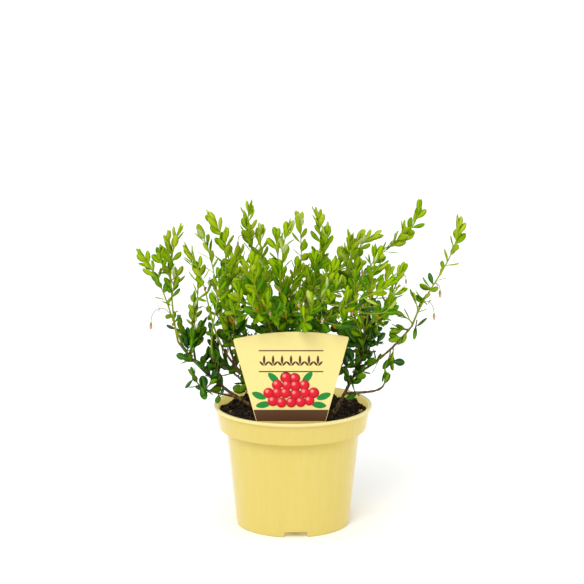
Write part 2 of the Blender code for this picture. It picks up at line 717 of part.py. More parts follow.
def main():
    clear_scene()
    parts = new_collection("potted_cranberry")
    pot_cutters = new_collection("pot_cutters")
    soil_cutters = new_collection("soil_cutters")
    plastic = make_material("pot_plastic", (0.83, 0.70, 0.24), 0.42)
    peat = make_material("peat", (0.045, 0.028, 0.018), 0.95)
    printed = make_material("printed_card", (0.95, 0.85, 0.50), 0.5)
    bark = make_material("bark", (0.16, 0.09, 0.045), 0.8)
    green = make_material("leaf_green", (0.20, 0.38, 0.03), 0.45)
    sections = {sides: profile_curve(sides) for sides in (SHOOT_SIDES, WOOD_SIDES)}
    make_pot(parts, pot_cutters, plastic)
    make_card(parts, soil_cutters, printed)
    curves = clump_curves()
    make_wood(curves, parts, sections, bark)
    make_soil(parts, soil_cutters, peat)
    shoots = grow_shoots(curves)
    wood = [wood_line(name, curves[name])[0] for name in CLUMPS]
    leaf = leaf_mesh()
    rng = np.random.default_rng(SEED)
    total = 0
    for name in CLUMPS:
        total += make_foliage(name, shoots, wood, parts, sections[SHOOT_SIDES], leaf, green, rng)
    print(f"{len(parts.objects)} solids with {total} leaves")


main()
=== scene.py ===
# %% [markdown]
# # A young cranberry plant in its nursery pot
#
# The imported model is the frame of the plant: pot, peat, card, woody stems, boughs and clumps of shoots,
# all plain solids in metres. This notebook dresses that frame. Each step first says what a piece is on
# the real plant and how it could be made, and then makes it as a surface worked out from arrays.

# %% Load the frame
import math
from collections import namedtuple

import bpy
import numpy as np
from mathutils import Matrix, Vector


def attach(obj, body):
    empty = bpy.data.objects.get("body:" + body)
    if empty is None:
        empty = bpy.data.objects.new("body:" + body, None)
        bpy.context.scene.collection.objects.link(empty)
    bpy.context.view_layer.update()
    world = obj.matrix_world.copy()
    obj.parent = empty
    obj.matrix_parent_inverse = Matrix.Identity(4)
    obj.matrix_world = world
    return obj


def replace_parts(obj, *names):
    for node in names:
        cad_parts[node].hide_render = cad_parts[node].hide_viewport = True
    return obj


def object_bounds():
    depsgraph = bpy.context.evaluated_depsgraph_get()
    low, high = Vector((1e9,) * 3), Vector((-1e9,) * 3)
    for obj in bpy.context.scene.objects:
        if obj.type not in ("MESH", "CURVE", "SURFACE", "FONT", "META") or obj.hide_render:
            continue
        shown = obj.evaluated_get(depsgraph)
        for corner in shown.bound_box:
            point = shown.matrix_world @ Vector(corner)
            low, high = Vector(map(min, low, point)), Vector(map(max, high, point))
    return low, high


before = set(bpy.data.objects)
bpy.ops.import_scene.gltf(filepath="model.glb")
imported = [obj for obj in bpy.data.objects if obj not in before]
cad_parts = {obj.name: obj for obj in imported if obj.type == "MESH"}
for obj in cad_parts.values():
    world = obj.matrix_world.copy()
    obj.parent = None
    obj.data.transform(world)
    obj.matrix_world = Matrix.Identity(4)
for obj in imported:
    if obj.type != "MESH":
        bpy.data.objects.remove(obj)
cad_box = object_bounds()
print("nodes:", len(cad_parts))
print("size in mm:", [round(1000 * side, 1) for side in cad_box[1] - cad_box[0]])

# %% [markdown]
# ## Sizes that the solids were made from
#
# The pot is a 12 cm nursery pot, and every other size goes with its rim. The same named values gave the
# solids their shape, so a finer surface made from them lies exactly where the solid is.

# %% Sizes of pot, peat and card
POT_HEIGHT = 0.0925
RIM_RADIUS = 0.060
COLLAR_TOP_RADIUS = 0.0584
COLLAR_FOOT_RADIUS = 0.0558
COLLAR_HEIGHT = 0.0180
BODY_TOP_RADIUS = 0.0507
BASE_RADIUS = 0.0432
POT_WALL = 0.0013
LIP_HEIGHT = 0.0026
LIP_WIDTH = 0.0026
CHANNEL_HEIGHT = 0.0043
CHANNEL_OUTER_RADIUS = 0.0412
CHANNEL_INNER_RADIUS = 0.0245
PAD_RADIUS = 0.0225
NOTCH_COUNT = 4
NOTCH_WIDTH = 0.0175
NOTCH_TURN = math.radians(3)
DRAIN_RADIUS = 0.0035
DRAIN_CENTRE_RADIUS = (CHANNEL_INNER_RADIUS + CHANNEL_OUTER_RADIUS) / 2
GAP = 0.0003
SOIL_LEVEL = 0.0868
FOOT_LEVEL = SOIL_LEVEL + GAP
CARD_X = -0.0014
CARD_Y = -0.0454
CARD_THICKNESS = 0.0009
CARD_TOP = 0.1588
CARD_CORNER_HEIGHT = 0.1540
CARD_ARCH_RISE = 0.0008
CARD_TOP_HALF_WIDTH = 0.0427
CARD_RIM_HALF_WIDTH = 0.0262
CARD_SHOULDER = 0.0800
CARD_STAKE_TOP = 0.0770
CARD_STAKE_HALF_WIDTH = 0.0085
CARD_STAKE_TIP_HALF_WIDTH = 0.0035
CARD_STAKE_FOOT = 0.0570
print("pot", 2 * RIM_RADIUS, "wide and", POT_HEIGHT, "high")

# %% [markdown]
# ## Surfaces from arrays
#
# Nearly everything on this plant is round: the pot, a twig, a leaf, a crumb of peat. Each can be
# written as a stack of rings that is closed by one point at either end. One function joins such a stack,
# or thousands of them at once, into points and faces, so no loop ever visits a single vertex.

# %% Unit vectors and stacks of rings
def unit(vectors):
    """The vectors at length one: v / |v|, along the last axis."""
    vectors = np.asarray(vectors, float)
    return vectors / np.linalg.norm(vectors, axis=-1, keepdims=True)


def full_turn(steps):
    """Even angles once round: 2 pi k / steps."""
    return 2 * math.pi * np.arange(steps) / steps


def round_axis(turns, across, beside):
    """Directions round an axis: cos v N + sin v B, where N and B stand square to it."""
    return np.cos(turns)[..., None] * across + np.sin(turns)[..., None] * beside


def capped_rings(rings, first, last):
    """Closed surfaces, each a stack of rings with a pole at both ends.

    rings is (count, rows, sides, 3), and first and last are (count, 3). Corner (i, j) of a stack joins
    (i, j + 1), (i + 1, j + 1) and (i + 1, j). Rings run anticlockwise, seen from the last pole.
    """
    count, rows, sides, _ = rings.shape
    body = rings.reshape(count, rows * sides, 3)
    points = np.concatenate([first[:, None], body, last[:, None]], axis=1)
    here = np.arange(sides)
    after = (here + 1) % sides
    row = 1 + sides * np.arange(rows - 1)[:, None]
    quads = np.stack([row + here, row + after, row + sides + after, row + sides + here], axis=-1)
    top = 1 + sides * (rows - 1)
    start_fan = np.column_stack([np.zeros(sides, int), 1 + after, 1 + here])
    end_fan = np.column_stack([np.full(sides, top + sides), top + here, top + after])
    fans = np.vstack([start_fan, end_fan])
    step = points.shape[1] * np.arange(count)[:, None, None]
    quads = (quads.reshape(1, -1, 4) + step).reshape(-1, 4)
    fans = (fans[None] + step).reshape(-1, 3)
    return points.reshape(-1, 3), [quads, fans]


stack_points, _ = capped_rings(np.zeros((1, 3, 6, 3)), *np.zeros((2, 1, 3)))
print("a stack of 3 rings of 6 has", len(stack_points), "points")

# %% [markdown]
# A twig is such a stack, carried along a path. Its rings need two directions across the path that don't
# spin round it. Carrying one direction along and taking out what has come to lie along the path gives
# a tube without twist.

# %% Tubes along paths
def tube_rings(lines, radii, sides):
    """Rings of tubes: S(u, v) = centre(u) + radius(u, v) (cos v N(u) + sin v B(u)).

    lines is (count, rows, 3). radii is (count, rows), or (count, rows, sides) for a rough surface.
    """
    ahead = unit(np.gradient(lines, axis=1))
    across = np.empty_like(ahead)
    across[:, 0] = unit(np.cross(ahead[:, 0], (0.12, 0.97, 0.21)))
    for row in range(1, lines.shape[1]):
        carried = across[:, row - 1]
        along = (carried * ahead[:, row]).sum(-1, keepdims=True)
        across[:, row] = unit(carried - along * ahead[:, row])
    beside = np.cross(ahead, across)
    if radii.ndim == 2:
        radii = radii[..., None]
    round_way = round_axis(full_turn(sides), across[:, :, None], beside[:, :, None])
    return lines[:, :, None] + radii[..., None] * round_way


def tubes(lines, radii, sides):
    """Closed tubes along paths, as points and faces. Their ends are flat fans."""
    return capped_rings(tube_rings(lines, radii, sides), lines[:, 0], lines[:, -1])


def pattern_up(shares, sides):
    """Each point's place on a tube's pattern: v is the share of its ring, (count, rows), and u is 0."""
    rings = np.repeat(shares, sides, axis=1)
    v = np.concatenate([shares[:, :1], rings, shares[:, -1:]], axis=1).ravel()
    return np.column_stack([np.zeros_like(v), v])


print("tubes ready")

# %% [markdown]
# ## Pieces
#
# A mesh can be filled face by face, but for half a million faces it is far quicker to hand Blender whole
# arrays. Each piece rides on the plant's one body.

# %% Pieces from arrays
def new_piece(name, points, faces, materials, slot, part=None, uv=None, sharp=None):
    """A mesh object from an array of points and a list of arrays of faces, with 3 or 4 corners each.

    part is each face's number in the list of materials, and uv is each point's place on its pattern.
    Edges sharper than the angle sharp, in radians, stay crisp.
    """
    mesh = bpy.data.meshes.new(name)
    corners = np.concatenate([group.ravel() for group in faces])
    sizes = np.concatenate([np.full(len(group), group.shape[1]) for group in faces])
    mesh.vertices.add(len(points))
    mesh.vertices.foreach_set("co", np.asarray(points, np.float32).ravel())
    mesh.loops.add(len(corners))
    mesh.loops.foreach_set("vertex_index", corners.astype(np.int32))
    mesh.polygons.add(len(sizes))
    mesh.polygons.foreach_set("loop_start", (np.cumsum(sizes) - sizes).astype(np.int32))
    for material in materials:
        mesh.materials.append(material)
    if part is not None:
        mesh.polygons.foreach_set("material_index", part.astype(np.int32))
    if uv is not None:
        layer = mesh.uv_layers.new(name="pattern")
        layer.data.foreach_set("uv", uv[corners].astype(np.float32).ravel())
    mesh.update(calc_edges=True)
    mesh.shade_smooth()
    if sharp is not None:
        mesh.set_sharp_from_angle(angle=sharp)
    piece = bpy.data.objects.new(name, mesh)
    bpy.context.scene.collection.objects.link(piece)
    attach(piece, "root")
    print(name, "has", len(sizes), "faces and", int((sizes - 2).sum()), "triangles")
    return piece


def joined(groups):
    """Several (points, faces) as one: each group's corner numbers move up past the points before it."""
    starts = np.cumsum([0] + [len(points) for points, _ in groups])
    faces = [group + start for (_, several), start in zip(groups, starts) for group in several]
    return np.vstack([points for points, _ in groups]), faces


def placed(frames, roots, rings, poles):
    """Many stacks set on their places: p = root + F q, with F a frame that holds each one's size too."""
    rings = np.einsum("kij,krsj->krsi", frames, rings) + roots[:, None, None]
    poles = np.einsum("kij,kpj->kpi", frames, poles) + roots[:, None]
    return capped_rings(rings, poles[:, 0], poles[:, 1])


def ripples(points, length, rng, waves=16):
    """A smooth random height at each point, mostly between -1 and 1.

    It is the sum of plane waves sin(k . p + phase) over the root of their number. Their directions are
    random, and their lengths lie round the one given.
    """
    ways = unit(rng.normal(size=(waves, 3)))
    pace = 2 * math.pi / length * rng.uniform(0.6, 1.6, waves)
    phases = rng.uniform(0, 2 * math.pi, waves)
    return np.sin(points @ (ways * pace[:, None]).T + phases).sum(-1) / math.sqrt(waves)


print("pieces ready")

# %% [markdown]
# ## Materials as expressions
#
# A material in Blender is a graph of nodes, which is hard to read as a list of links. Here a small class
# wraps a socket, so that `1 - mask * 0.3` adds the Math nodes by itself. Any other node comes from one
# method that takes its type, its settings and its sockets.

# %% Wires and finishes
class Wire:
    """A node's output socket, with Python's operators: a + b adds a Math node set to Add."""

    def __init__(self, finish, socket):
        self.finish = finish
        self.socket = socket

    def maths(self, operation, first, second):
        return self.finish.node("Math", {"operation": operation}, {0: first, 1: second})

    def __add__(self, other):
        return self.maths("ADD", self, other)

    def __radd__(self, other):
        return self.maths("ADD", other, self)

    def __sub__(self, other):
        return self.maths("SUBTRACT", self, other)

    def __rsub__(self, other):
        return self.maths("SUBTRACT", other, self)

    def __mul__(self, other):
        return self.maths("MULTIPLY", self, other)

    def __rmul__(self, other):
        return self.maths("MULTIPLY", other, self)


class Finish:
    """A material whose nodes are written as expressions. Its base colour and roughness may be plain."""

    def __init__(self, name, colour, roughness, **shine):
        self.material = bpy.data.materials.new(name)
        self.material.use_nodes = True
        self.material.diffuse_color = (*colour, 1.0)
        self.tree = self.material.node_tree
        self.shader = self.tree.nodes["Principled BSDF"]
        self.colour(colour)
        self.feed(self.shader.inputs["Roughness"], roughness)
        for socket, value in shine.items():
            self.feed(self.shader.inputs[socket.replace("_", " ")], value)

    def feed(self, socket, value):
        """Links a wire to a socket, or sets a plain value on it."""
        if isinstance(value, Wire):
            self.tree.links.new(value.socket, socket)
        elif socket.type == "RGBA":
            socket.default_value = (*value, 1.0)
        else:
            socket.default_value = value

    def node(self, kind, settings=None, inputs=None, output=0):
        """Adds a node: its type, then its settings, then its sockets. Gives the wire of one output."""
        made = self.tree.nodes.new("ShaderNode" + kind)
        for key, value in (settings or {}).items():
            setattr(made, key, value)
        for key, value in (inputs or {}).items():
            self.feed(made.inputs[key], value)
        return Wire(self, made.outputs[output])

    def place(self, stretch=(1.0, 1.0, 1.0)):
        """Object coordinates, stretched along each axis."""
        here = self.node("TexCoord", output=3)
        return self.node("Mapping", inputs={"Vector": here, "Scale": stretch})

    def coordinate(self, axis):
        """The object's own x, y or z, by its capital letter."""
        return self.node("SeparateXYZ", inputs={0: self.node("TexCoord", output=3)}, output=axis)

    def pattern_height(self):
        """How far up its pattern a point lies, as the mesh says it."""
        pattern = self.node("UVMap", {"uv_map": "pattern"})
        return self.node("SeparateXYZ", inputs={0: pattern}, output="Y")

    def noise(self, scale, detail=2.0, stretch=(1.0, 1.0, 1.0)):
        """Soft noise between 0 and 1, with scale lumps to the metre."""
        sockets = {"Vector": self.place(stretch), "Scale": scale, "Detail": detail}
        return self.node("TexNoise", inputs=sockets)

    def mix(self, share, first, second):
        """A colour between two colours, by a share from 0 to 1."""
        return self.node("Mix", {"data_type": "RGBA"}, {0: share, 6: first, 7: second}, output=2)

    def ramp(self, value, low, high):
        """0 where the value is under low, 1 over high, and a smooth step in between."""
        settings = {"interpolation_type": "SMOOTHSTEP"}
        return self.node("MapRange", settings, {"Value": value, "From Min": low, "From Max": high})

    def colour(self, value):
        self.feed(self.shader.inputs["Base Color"], value)

    def rough(self, value):
        self.feed(self.shader.inputs["Roughness"], value)

    def bump(self, height, depth):
        """Raises the surface by height, a wire from 0 to 1, times depth in metres."""
        sockets = {"Strength": 1.0, "Distance": depth, "Height": height}
        self.feed(self.shader.inputs["Normal"], self.node("Bump", inputs=sockets))


print("materials ready")

# %% [markdown]
# ## The pot
#
# A nursery pot is injection moulded, so it is a turned shape: a thin wall with a collar, a lip and a ring
# that it stands on. A Screw modifier could turn its section. Here the section is a list of corners, each
# rounded by a small curve, and the turning is one product of radius and direction. The four notches in the
# foot ring are part of the same function: near them the wall's lower edge is lifted to the channel's roof.

# %% The pot's section
def body_radius(height):
    return BASE_RADIUS + (BODY_TOP_RADIUS - BASE_RADIUS) * height / (POT_HEIGHT - COLLAR_HEIGHT)


def rounded(corners, radius, steps):
    """Each inner corner of a chain replaced by B(t) = (1-t)^2 a + 2t(1-t) c + t^2 b.

    c is the corner itself, and a and b lie on its two sides, a radius away or at most 0.45 of the side.
    """
    corners = np.asarray(corners, float)
    middle = corners[1:-1]
    back = corners[:-2] - middle
    on = corners[2:] - middle
    back_length = np.linalg.norm(back, axis=1, keepdims=True)
    on_length = np.linalg.norm(on, axis=1, keepdims=True)
    first = middle + back / back_length * np.minimum(radius, 0.45 * back_length)
    second = middle + on / on_length * np.minimum(radius, 0.45 * on_length)
    t = np.linspace(0, 1, steps)[None, :, None]
    curves = (1 - t) ** 2 * first[:, None] + 2 * t * (1 - t) * middle[:, None] + t**2 * second[:, None]
    return np.vstack([corners[:1], curves.reshape(-1, corners.shape[1]), corners[-1:]])


collar_foot = POT_HEIGHT - COLLAR_HEIGHT
ledge = collar_foot + POT_WALL
lip_foot = POT_HEIGHT - LIP_HEIGHT
floor_level = CHANNEL_HEIGHT + POT_WALL
pot_corners = [
    (0.0, 0.0),
    (PAD_RADIUS, 0.0),
    (CHANNEL_INNER_RADIUS, CHANNEL_HEIGHT),
    (CHANNEL_OUTER_RADIUS - 0.0006, CHANNEL_HEIGHT),
    (CHANNEL_OUTER_RADIUS, 0.0),
    (BASE_RADIUS, 0.0),
    (BODY_TOP_RADIUS, collar_foot),
    (COLLAR_FOOT_RADIUS, collar_foot),
    (COLLAR_TOP_RADIUS, lip_foot),
    (RIM_RADIUS, lip_foot),
    (RIM_RADIUS, POT_HEIGHT),
    (RIM_RADIUS - LIP_WIDTH, POT_HEIGHT),
    (COLLAR_FOOT_RADIUS - POT_WALL, ledge),
    (body_radius(ledge) - POT_WALL, ledge),
    (body_radius(floor_level) - POT_WALL, floor_level),
    (CHANNEL_INNER_RADIUS - POT_WALL / 2, floor_level),
    (PAD_RADIUS - POT_WALL / 2, POT_WALL),
    (0.0, POT_WALL),
]
POT_EDGE_ROUNDING = 0.0009
POT_EDGE_STEPS = 5
pot_section = rounded(pot_corners, POT_EDGE_ROUNDING, POT_EDGE_STEPS)
print("the section has", len(pot_section), "points")

# %% Turn the section and lift its foot at the notches
POT_STEPS = 192
NOTCH_SLOPE = 0.0008


def turned(section, turns):
    """Rings of a turned shape: S(u, v) = (r(u) cos v, r(u) sin v, z(u))."""
    radius = section[1:-1, 0, None]
    height = np.broadcast_to(section[1:-1, 1, None], (len(section) - 2, len(turns)))
    return np.stack([radius * np.cos(turns), radius * np.sin(turns), height], axis=-1)


def axis_poles(low, high):
    """The two poles of a turned shape, on its axis."""
    return [np.array([[0.0, 0.0, height]]) for height in (low, high)]


notch_centres = NOTCH_TURN - math.pi / 2 + full_turn(NOTCH_COUNT)
notch_sides = np.array([-1, -1, 1, 1]) * NOTCH_WIDTH / 2 + np.array([-1, 1, -1, 1]) * NOTCH_SLOPE / 2
notch_lines = (notch_centres[:, None] + notch_sides / BASE_RADIUS).ravel() % (2 * math.pi)
even_lines = full_turn(POT_STEPS)
far = np.abs(even_lines[:, None] - notch_lines).min(axis=1) > 0.2 * math.pi / POT_STEPS
pot_turns = np.sort(np.concatenate([even_lines[far], notch_lines]))
pot_rings = turned(pot_section, pot_turns)
off = (pot_turns[:, None] - notch_centres + math.pi) % (2 * math.pi) - math.pi
from_notch = np.abs(off).min(axis=1) * BASE_RADIUS - NOTCH_WIDTH / 2
lift = np.clip(0.5 - from_notch / NOTCH_SLOPE, 0, 1)
in_ring = pot_section[1:-1, 0] > CHANNEL_OUTER_RADIUS - 0.001
low = in_ring[:, None] & (pot_rings[..., 2] < CHANNEL_HEIGHT)
lifted = np.maximum(pot_rings[..., 2], lift * CHANNEL_HEIGHT)
pot_rings[..., 2] = np.where(low, lifted, pot_rings[..., 2])
pot_poles = axis_poles(0.0, POT_WALL)
print("rings:", pot_rings.shape[0], "of", pot_rings.shape[1], "points")

# %% [markdown]
# The plastic is pale straw yellow with a satin gloss. Its flow in the mould leaves faint upright streaks,
# which are noise squeezed round the pot and stretched along its height. Peat dust clings to the inside.
# The inner wall is painted paler, and it and the hollow under the foot are given a painted glow.

# %% The pot's finish
STRAW = (0.66, 0.525, 0.130)
STRAW_WARM = (0.655, 0.490, 0.085)
STRAW_PALE = (0.69, 0.585, 0.220)
# A paler straw for painted light: a painted highlight on the lip and a painted lighter inner wall.
PAINTED_LIGHT_STRAW = (0.78, 0.675, 0.30)
DUST = (0.20, 0.125, 0.055)
# Colours of a painted glow on the inner wall and in the hollow under the foot.
PAINTED_WALL_GLOW = (0.34, 0.27, 0.060)
PAINTED_FOOT_GLOW = (0.30, 0.27, 0.16)
STREAK_SCALE = 620.0
WIDE_STREAK_SCALE = 260.0
STREAK_STRETCH = (1.0, 1.0, 0.02)
STREAK_DEPTH = 0.000004
COLLAR_SHADE_DROP = 0.012
COLLAR_SHADE_END = 0.0015
LIP_HIGHLIGHT_START = 0.0032
LIP_HIGHLIGHT_FULL = 0.0010

plastic = Finish("straw_plastic", STRAW, 0.4, Specular_IOR_Level=0.4, Emission_Strength=1.0)
height = plastic.coordinate("Z")
from_axis = plastic.node("VectorMath", {"operation": "LENGTH"}, {0: plastic.place((1.0, 1.0, 0.0))}, output=1)
streaks = plastic.ramp(plastic.noise(STREAK_SCALE, 1.0, STREAK_STRETCH), 0.40, 0.72)
wide_streaks = plastic.ramp(plastic.noise(WIDE_STREAK_SCALE, 2.0, STREAK_STRETCH), 0.35, 0.70)
straw = plastic.mix(streaks * 0.30, STRAW, STRAW_WARM)
straw = plastic.mix(wide_streaks * 0.18, straw, STRAW_PALE)
# Painted shade: a warmer, darker band just under the collar's foot, where the overhang shades the body.
under_collar = plastic.ramp(height, collar_foot - COLLAR_SHADE_DROP, collar_foot)
below_collar = plastic.ramp(height, collar_foot + COLLAR_SHADE_END, collar_foot)
straw = plastic.mix(under_collar * below_collar * 0.45, straw, STRAW_WARM)
# Painted highlight: the lip's top edge is painted paler, as if light caught it.
painted_lip_highlight = plastic.ramp(height, POT_HEIGHT - LIP_HIGHLIGHT_START, POT_HEIGHT - LIP_HIGHLIGHT_FULL)
straw = plastic.mix(painted_lip_highlight * 0.8, straw, PAINTED_LIGHT_STRAW)
print("nodes in the pot's finish:", len(plastic.tree.nodes))

# %% Peat dust, painted light and a painted glow on the pot's inner wall and foot
DUST_TOP = SOIL_LEVEL + 0.0035
DUST_FULL = SOIL_LEVEL - 0.0005
DUST_SPECK_SCALE = 900.0
PAINTED_GLOW_EDGES = (0.0006, 0.0002)

collar_slope = (COLLAR_TOP_RADIUS - COLLAR_FOOT_RADIUS) / (POT_HEIGHT - ledge)
wall_depth = COLLAR_FOOT_RADIUS + (height - ledge) * collar_slope - from_axis
inside = plastic.ramp(wall_depth, 0.4 * POT_WALL, 0.8 * POT_WALL)
low_down = plastic.ramp(height, DUST_TOP, DUST_FULL)
above_ledge = plastic.ramp(height, ledge - 0.001, ledge)
specks = plastic.ramp(plastic.noise(DUST_SPECK_SCALE, 3.0), 0.54, 0.70)
dusty = inside * low_down * above_ledge * (0.02 + specks * 0.45)
# Painted light: the inner wall above the ledge is painted paler, as if lit, though the plant shades it.
straw = plastic.mix(inside * above_ledge * 0.8, straw, PAINTED_LIGHT_STRAW)
plastic.colour(plastic.mix(dusty, straw, DUST))
# Painted glow: the inner wall and the hollow under the foot give off light of their own, though no lamp is
# there.
under_foot = plastic.ramp(height, *(CHANNEL_HEIGHT + edge for edge in PAINTED_GLOW_EDGES))
off_foot = plastic.ramp(from_axis, *(CHANNEL_OUTER_RADIUS + edge for edge in PAINTED_GLOW_EDGES))
painted_glow = plastic.mix(inside * above_ledge, (0.0, 0.0, 0.0), PAINTED_WALL_GLOW)
painted_glow = plastic.mix(under_foot * off_foot, painted_glow, PAINTED_FOOT_GLOW)
plastic.feed(plastic.shader.inputs["Emission Color"], painted_glow)
plastic.material.cycles.emission_sampling = "NONE"
plastic.rough(0.17 + streaks * 0.04 + dusty * 0.4)
plastic.bump(plastic.noise(STREAK_SCALE, 1.0, STREAK_STRETCH), STREAK_DEPTH)
print("nodes in the pot's finish:", len(plastic.tree.nodes))

# %% [markdown]
# The foot's notches leave folded faces where the lifted rings fall together, so these are merged. The four
# drain holes are cut by a Boolean with round pins, which is the plain way to make a round hole in a
# turned wall.

# %% Join the pot and cut its drain holes
import bmesh


def cleaned(mesh, distance=1e-6):
    """Merges points that fall together and drops faces that have no area."""
    work = bmesh.new()
    work.from_mesh(mesh)
    bmesh.ops.remove_doubles(work, verts=work.verts, dist=distance)
    bmesh.ops.dissolve_degenerate(work, edges=work.edges, dist=distance)
    work.to_mesh(mesh)
    work.free()


def cut_out(piece, cutter):
    """Cuts one mesh object out of another and applies it."""
    boolean = piece.modifiers.new("cut", "BOOLEAN")
    boolean.object = cutter
    boolean.solver = "EXACT"
    bpy.context.view_layer.update()
    seen = piece.evaluated_get(bpy.context.evaluated_depsgraph_get())
    mesh = bpy.data.meshes.new_from_object(seen)
    piece.modifiers.clear()
    piece.data = mesh
    bpy.data.objects.remove(cutter)


DRAIN_SIDES = 28
PIN_MARGIN = 0.002
SHARP = math.radians(38)
pot = new_piece("pot_shell", *capped_rings(pot_rings[None], *pot_poles), [plastic.material], "pot_plastic")
cleaned(pot.data)
drain_centres = DRAIN_CENTRE_RADIUS * np.column_stack([np.cos(notch_centres), np.sin(notch_centres)])
pin_lines = np.empty((NOTCH_COUNT, 2, 3))
pin_lines[..., :2] = drain_centres[:, None]
pin_lines[..., 2] = (CHANNEL_HEIGHT - PIN_MARGIN, floor_level + PIN_MARGIN)
pin_points, pin_faces = tubes(pin_lines, np.full((NOTCH_COUNT, 2), DRAIN_RADIUS), DRAIN_SIDES)
pins = new_piece("drain_pins", pin_points, pin_faces, [plastic.material], "pot_plastic")
cut_out(pot, pins)
pot.data.shade_smooth()
pot.data.set_sharp_from_angle(angle=SHARP)
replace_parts(pot, "pot")
print("pot faces:", len(pot.data.polygons))

# %% [markdown]
# ## The peat
#
# Potting peat is a dark, crumbly bed with bits of bark, a few pale flecks and hair roots. One displaced
# surface alone looks like melted chocolate, because its crumbs can't overhang. So a lumpy bed carries
# a couple of thousand loose crumbs, each a small rough ball of its own.

# %% The bed
BED_SIDES = 160
BED_ROWS = 44
LUMP_HEIGHT = 0.0011
LUMP_LENGTH = 0.011
GRAIN_HEIGHT = 0.0005
GRAIN_LENGTH = 0.003
RIPPLE_LEVEL = 0.02
BED_DIP = 0.0012
WALL_RISE = 0.0016
WALL_RISE_START = 0.040
WALL_RISE_WIDTH = 0.016
BED_AIR = 0.0002
PEAT_SEED = 11


def inner_radius(height):
    share = (height - ledge) / (POT_HEIGHT - ledge)
    return COLLAR_FOOT_RADIUS + (COLLAR_TOP_RADIUS - COLLAR_FOOT_RADIUS) * share - POT_WALL


def bed_height(x, y):
    """The peat's top: its level, raised a little at the wall, plus lumps of 11 mm and grains of 3 mm."""
    places = np.stack([x, y, np.full_like(x, RIPPLE_LEVEL)], axis=-1)
    rng = np.random.default_rng(PEAT_SEED)
    lumps = LUMP_HEIGHT * ripples(places, LUMP_LENGTH, rng)
    lumps = lumps + GRAIN_HEIGHT * ripples(places, GRAIN_LENGTH, rng)
    edge = np.clip((np.hypot(x, y) - WALL_RISE_START) / WALL_RISE_WIDTH, 0, 1)
    return SOIL_LEVEL - BED_DIP + WALL_RISE * edge**2 + lumps


side_corners = [
    (0.0, POT_WALL + BED_AIR),
    (PAD_RADIUS - POT_WALL, POT_WALL + BED_AIR),
    (CHANNEL_INNER_RADIUS - POT_WALL, floor_level + BED_AIR),
    (body_radius(floor_level) - POT_WALL - BED_AIR, floor_level + BED_AIR),
    (body_radius(ledge) - POT_WALL - BED_AIR, ledge + BED_AIR),
    (inner_radius(ledge) - BED_AIR, ledge + BED_AIR),
]
bed_radii = (inner_radius(SOIL_LEVEL) - BED_AIR) * np.linspace(1, 0, BED_ROWS)
bed_section = np.vstack([side_corners, np.column_stack([bed_radii, np.full(BED_ROWS, SOIL_LEVEL)])])
bed_rings = turned(bed_section, full_turn(BED_SIDES))
top_rows = slice(len(side_corners) - 1, None)
bed_rings[top_rows, :, 2] = bed_height(bed_rings[top_rows, :, 0], bed_rings[top_rows, :, 1])
bed_middle = float(bed_height(np.zeros(1), np.zeros(1))[0])
bed_poles = axis_poles(side_corners[0][1], bed_middle)
print("the bed's middle is", bed_middle, "high")

# %% The peat's finishes
def earth(name, dark, light, scale):
    """A dull, broken surface between two browns, with fine grain."""
    finish = Finish(name, dark, 0.95, Specular_IOR_Level=0.25)
    mottle = finish.ramp(finish.noise(scale, 4.0), 0.38, 0.66)
    finish.colour(finish.mix(mottle, dark, light))
    finish.rough(0.85 + mottle * 0.12)
    finish.bump(finish.noise(3 * scale, 4.0), 0.0004)
    return finish.material


peat_black = earth("peat_black", (0.010, 0.0055, 0.0025), (0.034, 0.018, 0.008), 500.0)
peat_brown = earth("peat_brown", (0.034, 0.017, 0.006), (0.105, 0.056, 0.020), 600.0)
bark_chip = earth("bark_chip", (0.13, 0.075, 0.022), (0.36, 0.235, 0.075), 700.0)
bed = new_piece("peat_bed", *capped_rings(bed_rings[None], *bed_poles), [peat_black], "peat")
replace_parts(bed, "soil")

# %% [markdown]
# A crumb is a ball of three rings whose points are pushed in and out at random, then squashed and turned.
# Working it out as one array of (crumb, ring, side, xyz) makes all of them in a single step.

# %% Crumbs, chips and flecks
STEM_FEET = {
    "right": (0.031, -0.008),
    "right_inner": (0.020, 0.010),
    "left": (-0.022, -0.006),
    "left_inner": (-0.012, 0.007),
    "centre": (0.000, -0.008),
    "back": (0.006, 0.027),
}
CRUMB_LEVELS = np.array([-0.62, 0.0, 0.62])
CRUMB_SIDES = 6
CRUMB_SIZE_POWER = 2.2
CRUMB_CARD_AIR = 0.0005
CRUMB_STEM_AIR = 0.0022
CRUMB_STAND = 0.25
CRUMB_SHARP = math.radians(25)
CrumbKind = namedtuple("CrumbKind", "name count smallest largest flatness roughness material")
CRUMB_KINDS = (
    CrumbKind("crumbs_dark", 1500, 0.0007, 0.0030, 0.5, 0.35, peat_black),
    CrumbKind("crumbs_brown", 620, 0.0006, 0.0022, 0.4, 0.35, peat_brown),
    CrumbKind("crumbs_bark", 170, 0.0005, 0.0021, 0.25, 0.25, bark_chip),
    CrumbKind("clods", 64, 0.0018, 0.0036, 0.6, 0.30, peat_black),
)


def at_card(x, y, air):
    """True for each place on the peat that is within the air of the card's foot."""
    return (np.abs(y - CARD_Y) < air) & (np.abs(x - CARD_X) < CARD_RIM_HALF_WIDTH)


def random_frames(count, rng):
    """Random rotations, from the QR parts of random matrices, as (count, 3, 3)."""
    frames = np.linalg.qr(rng.normal(size=(count, 3, 3)))[0]
    frames[:, :, 2] *= np.sign(np.linalg.det(frames))[:, None]
    return frames


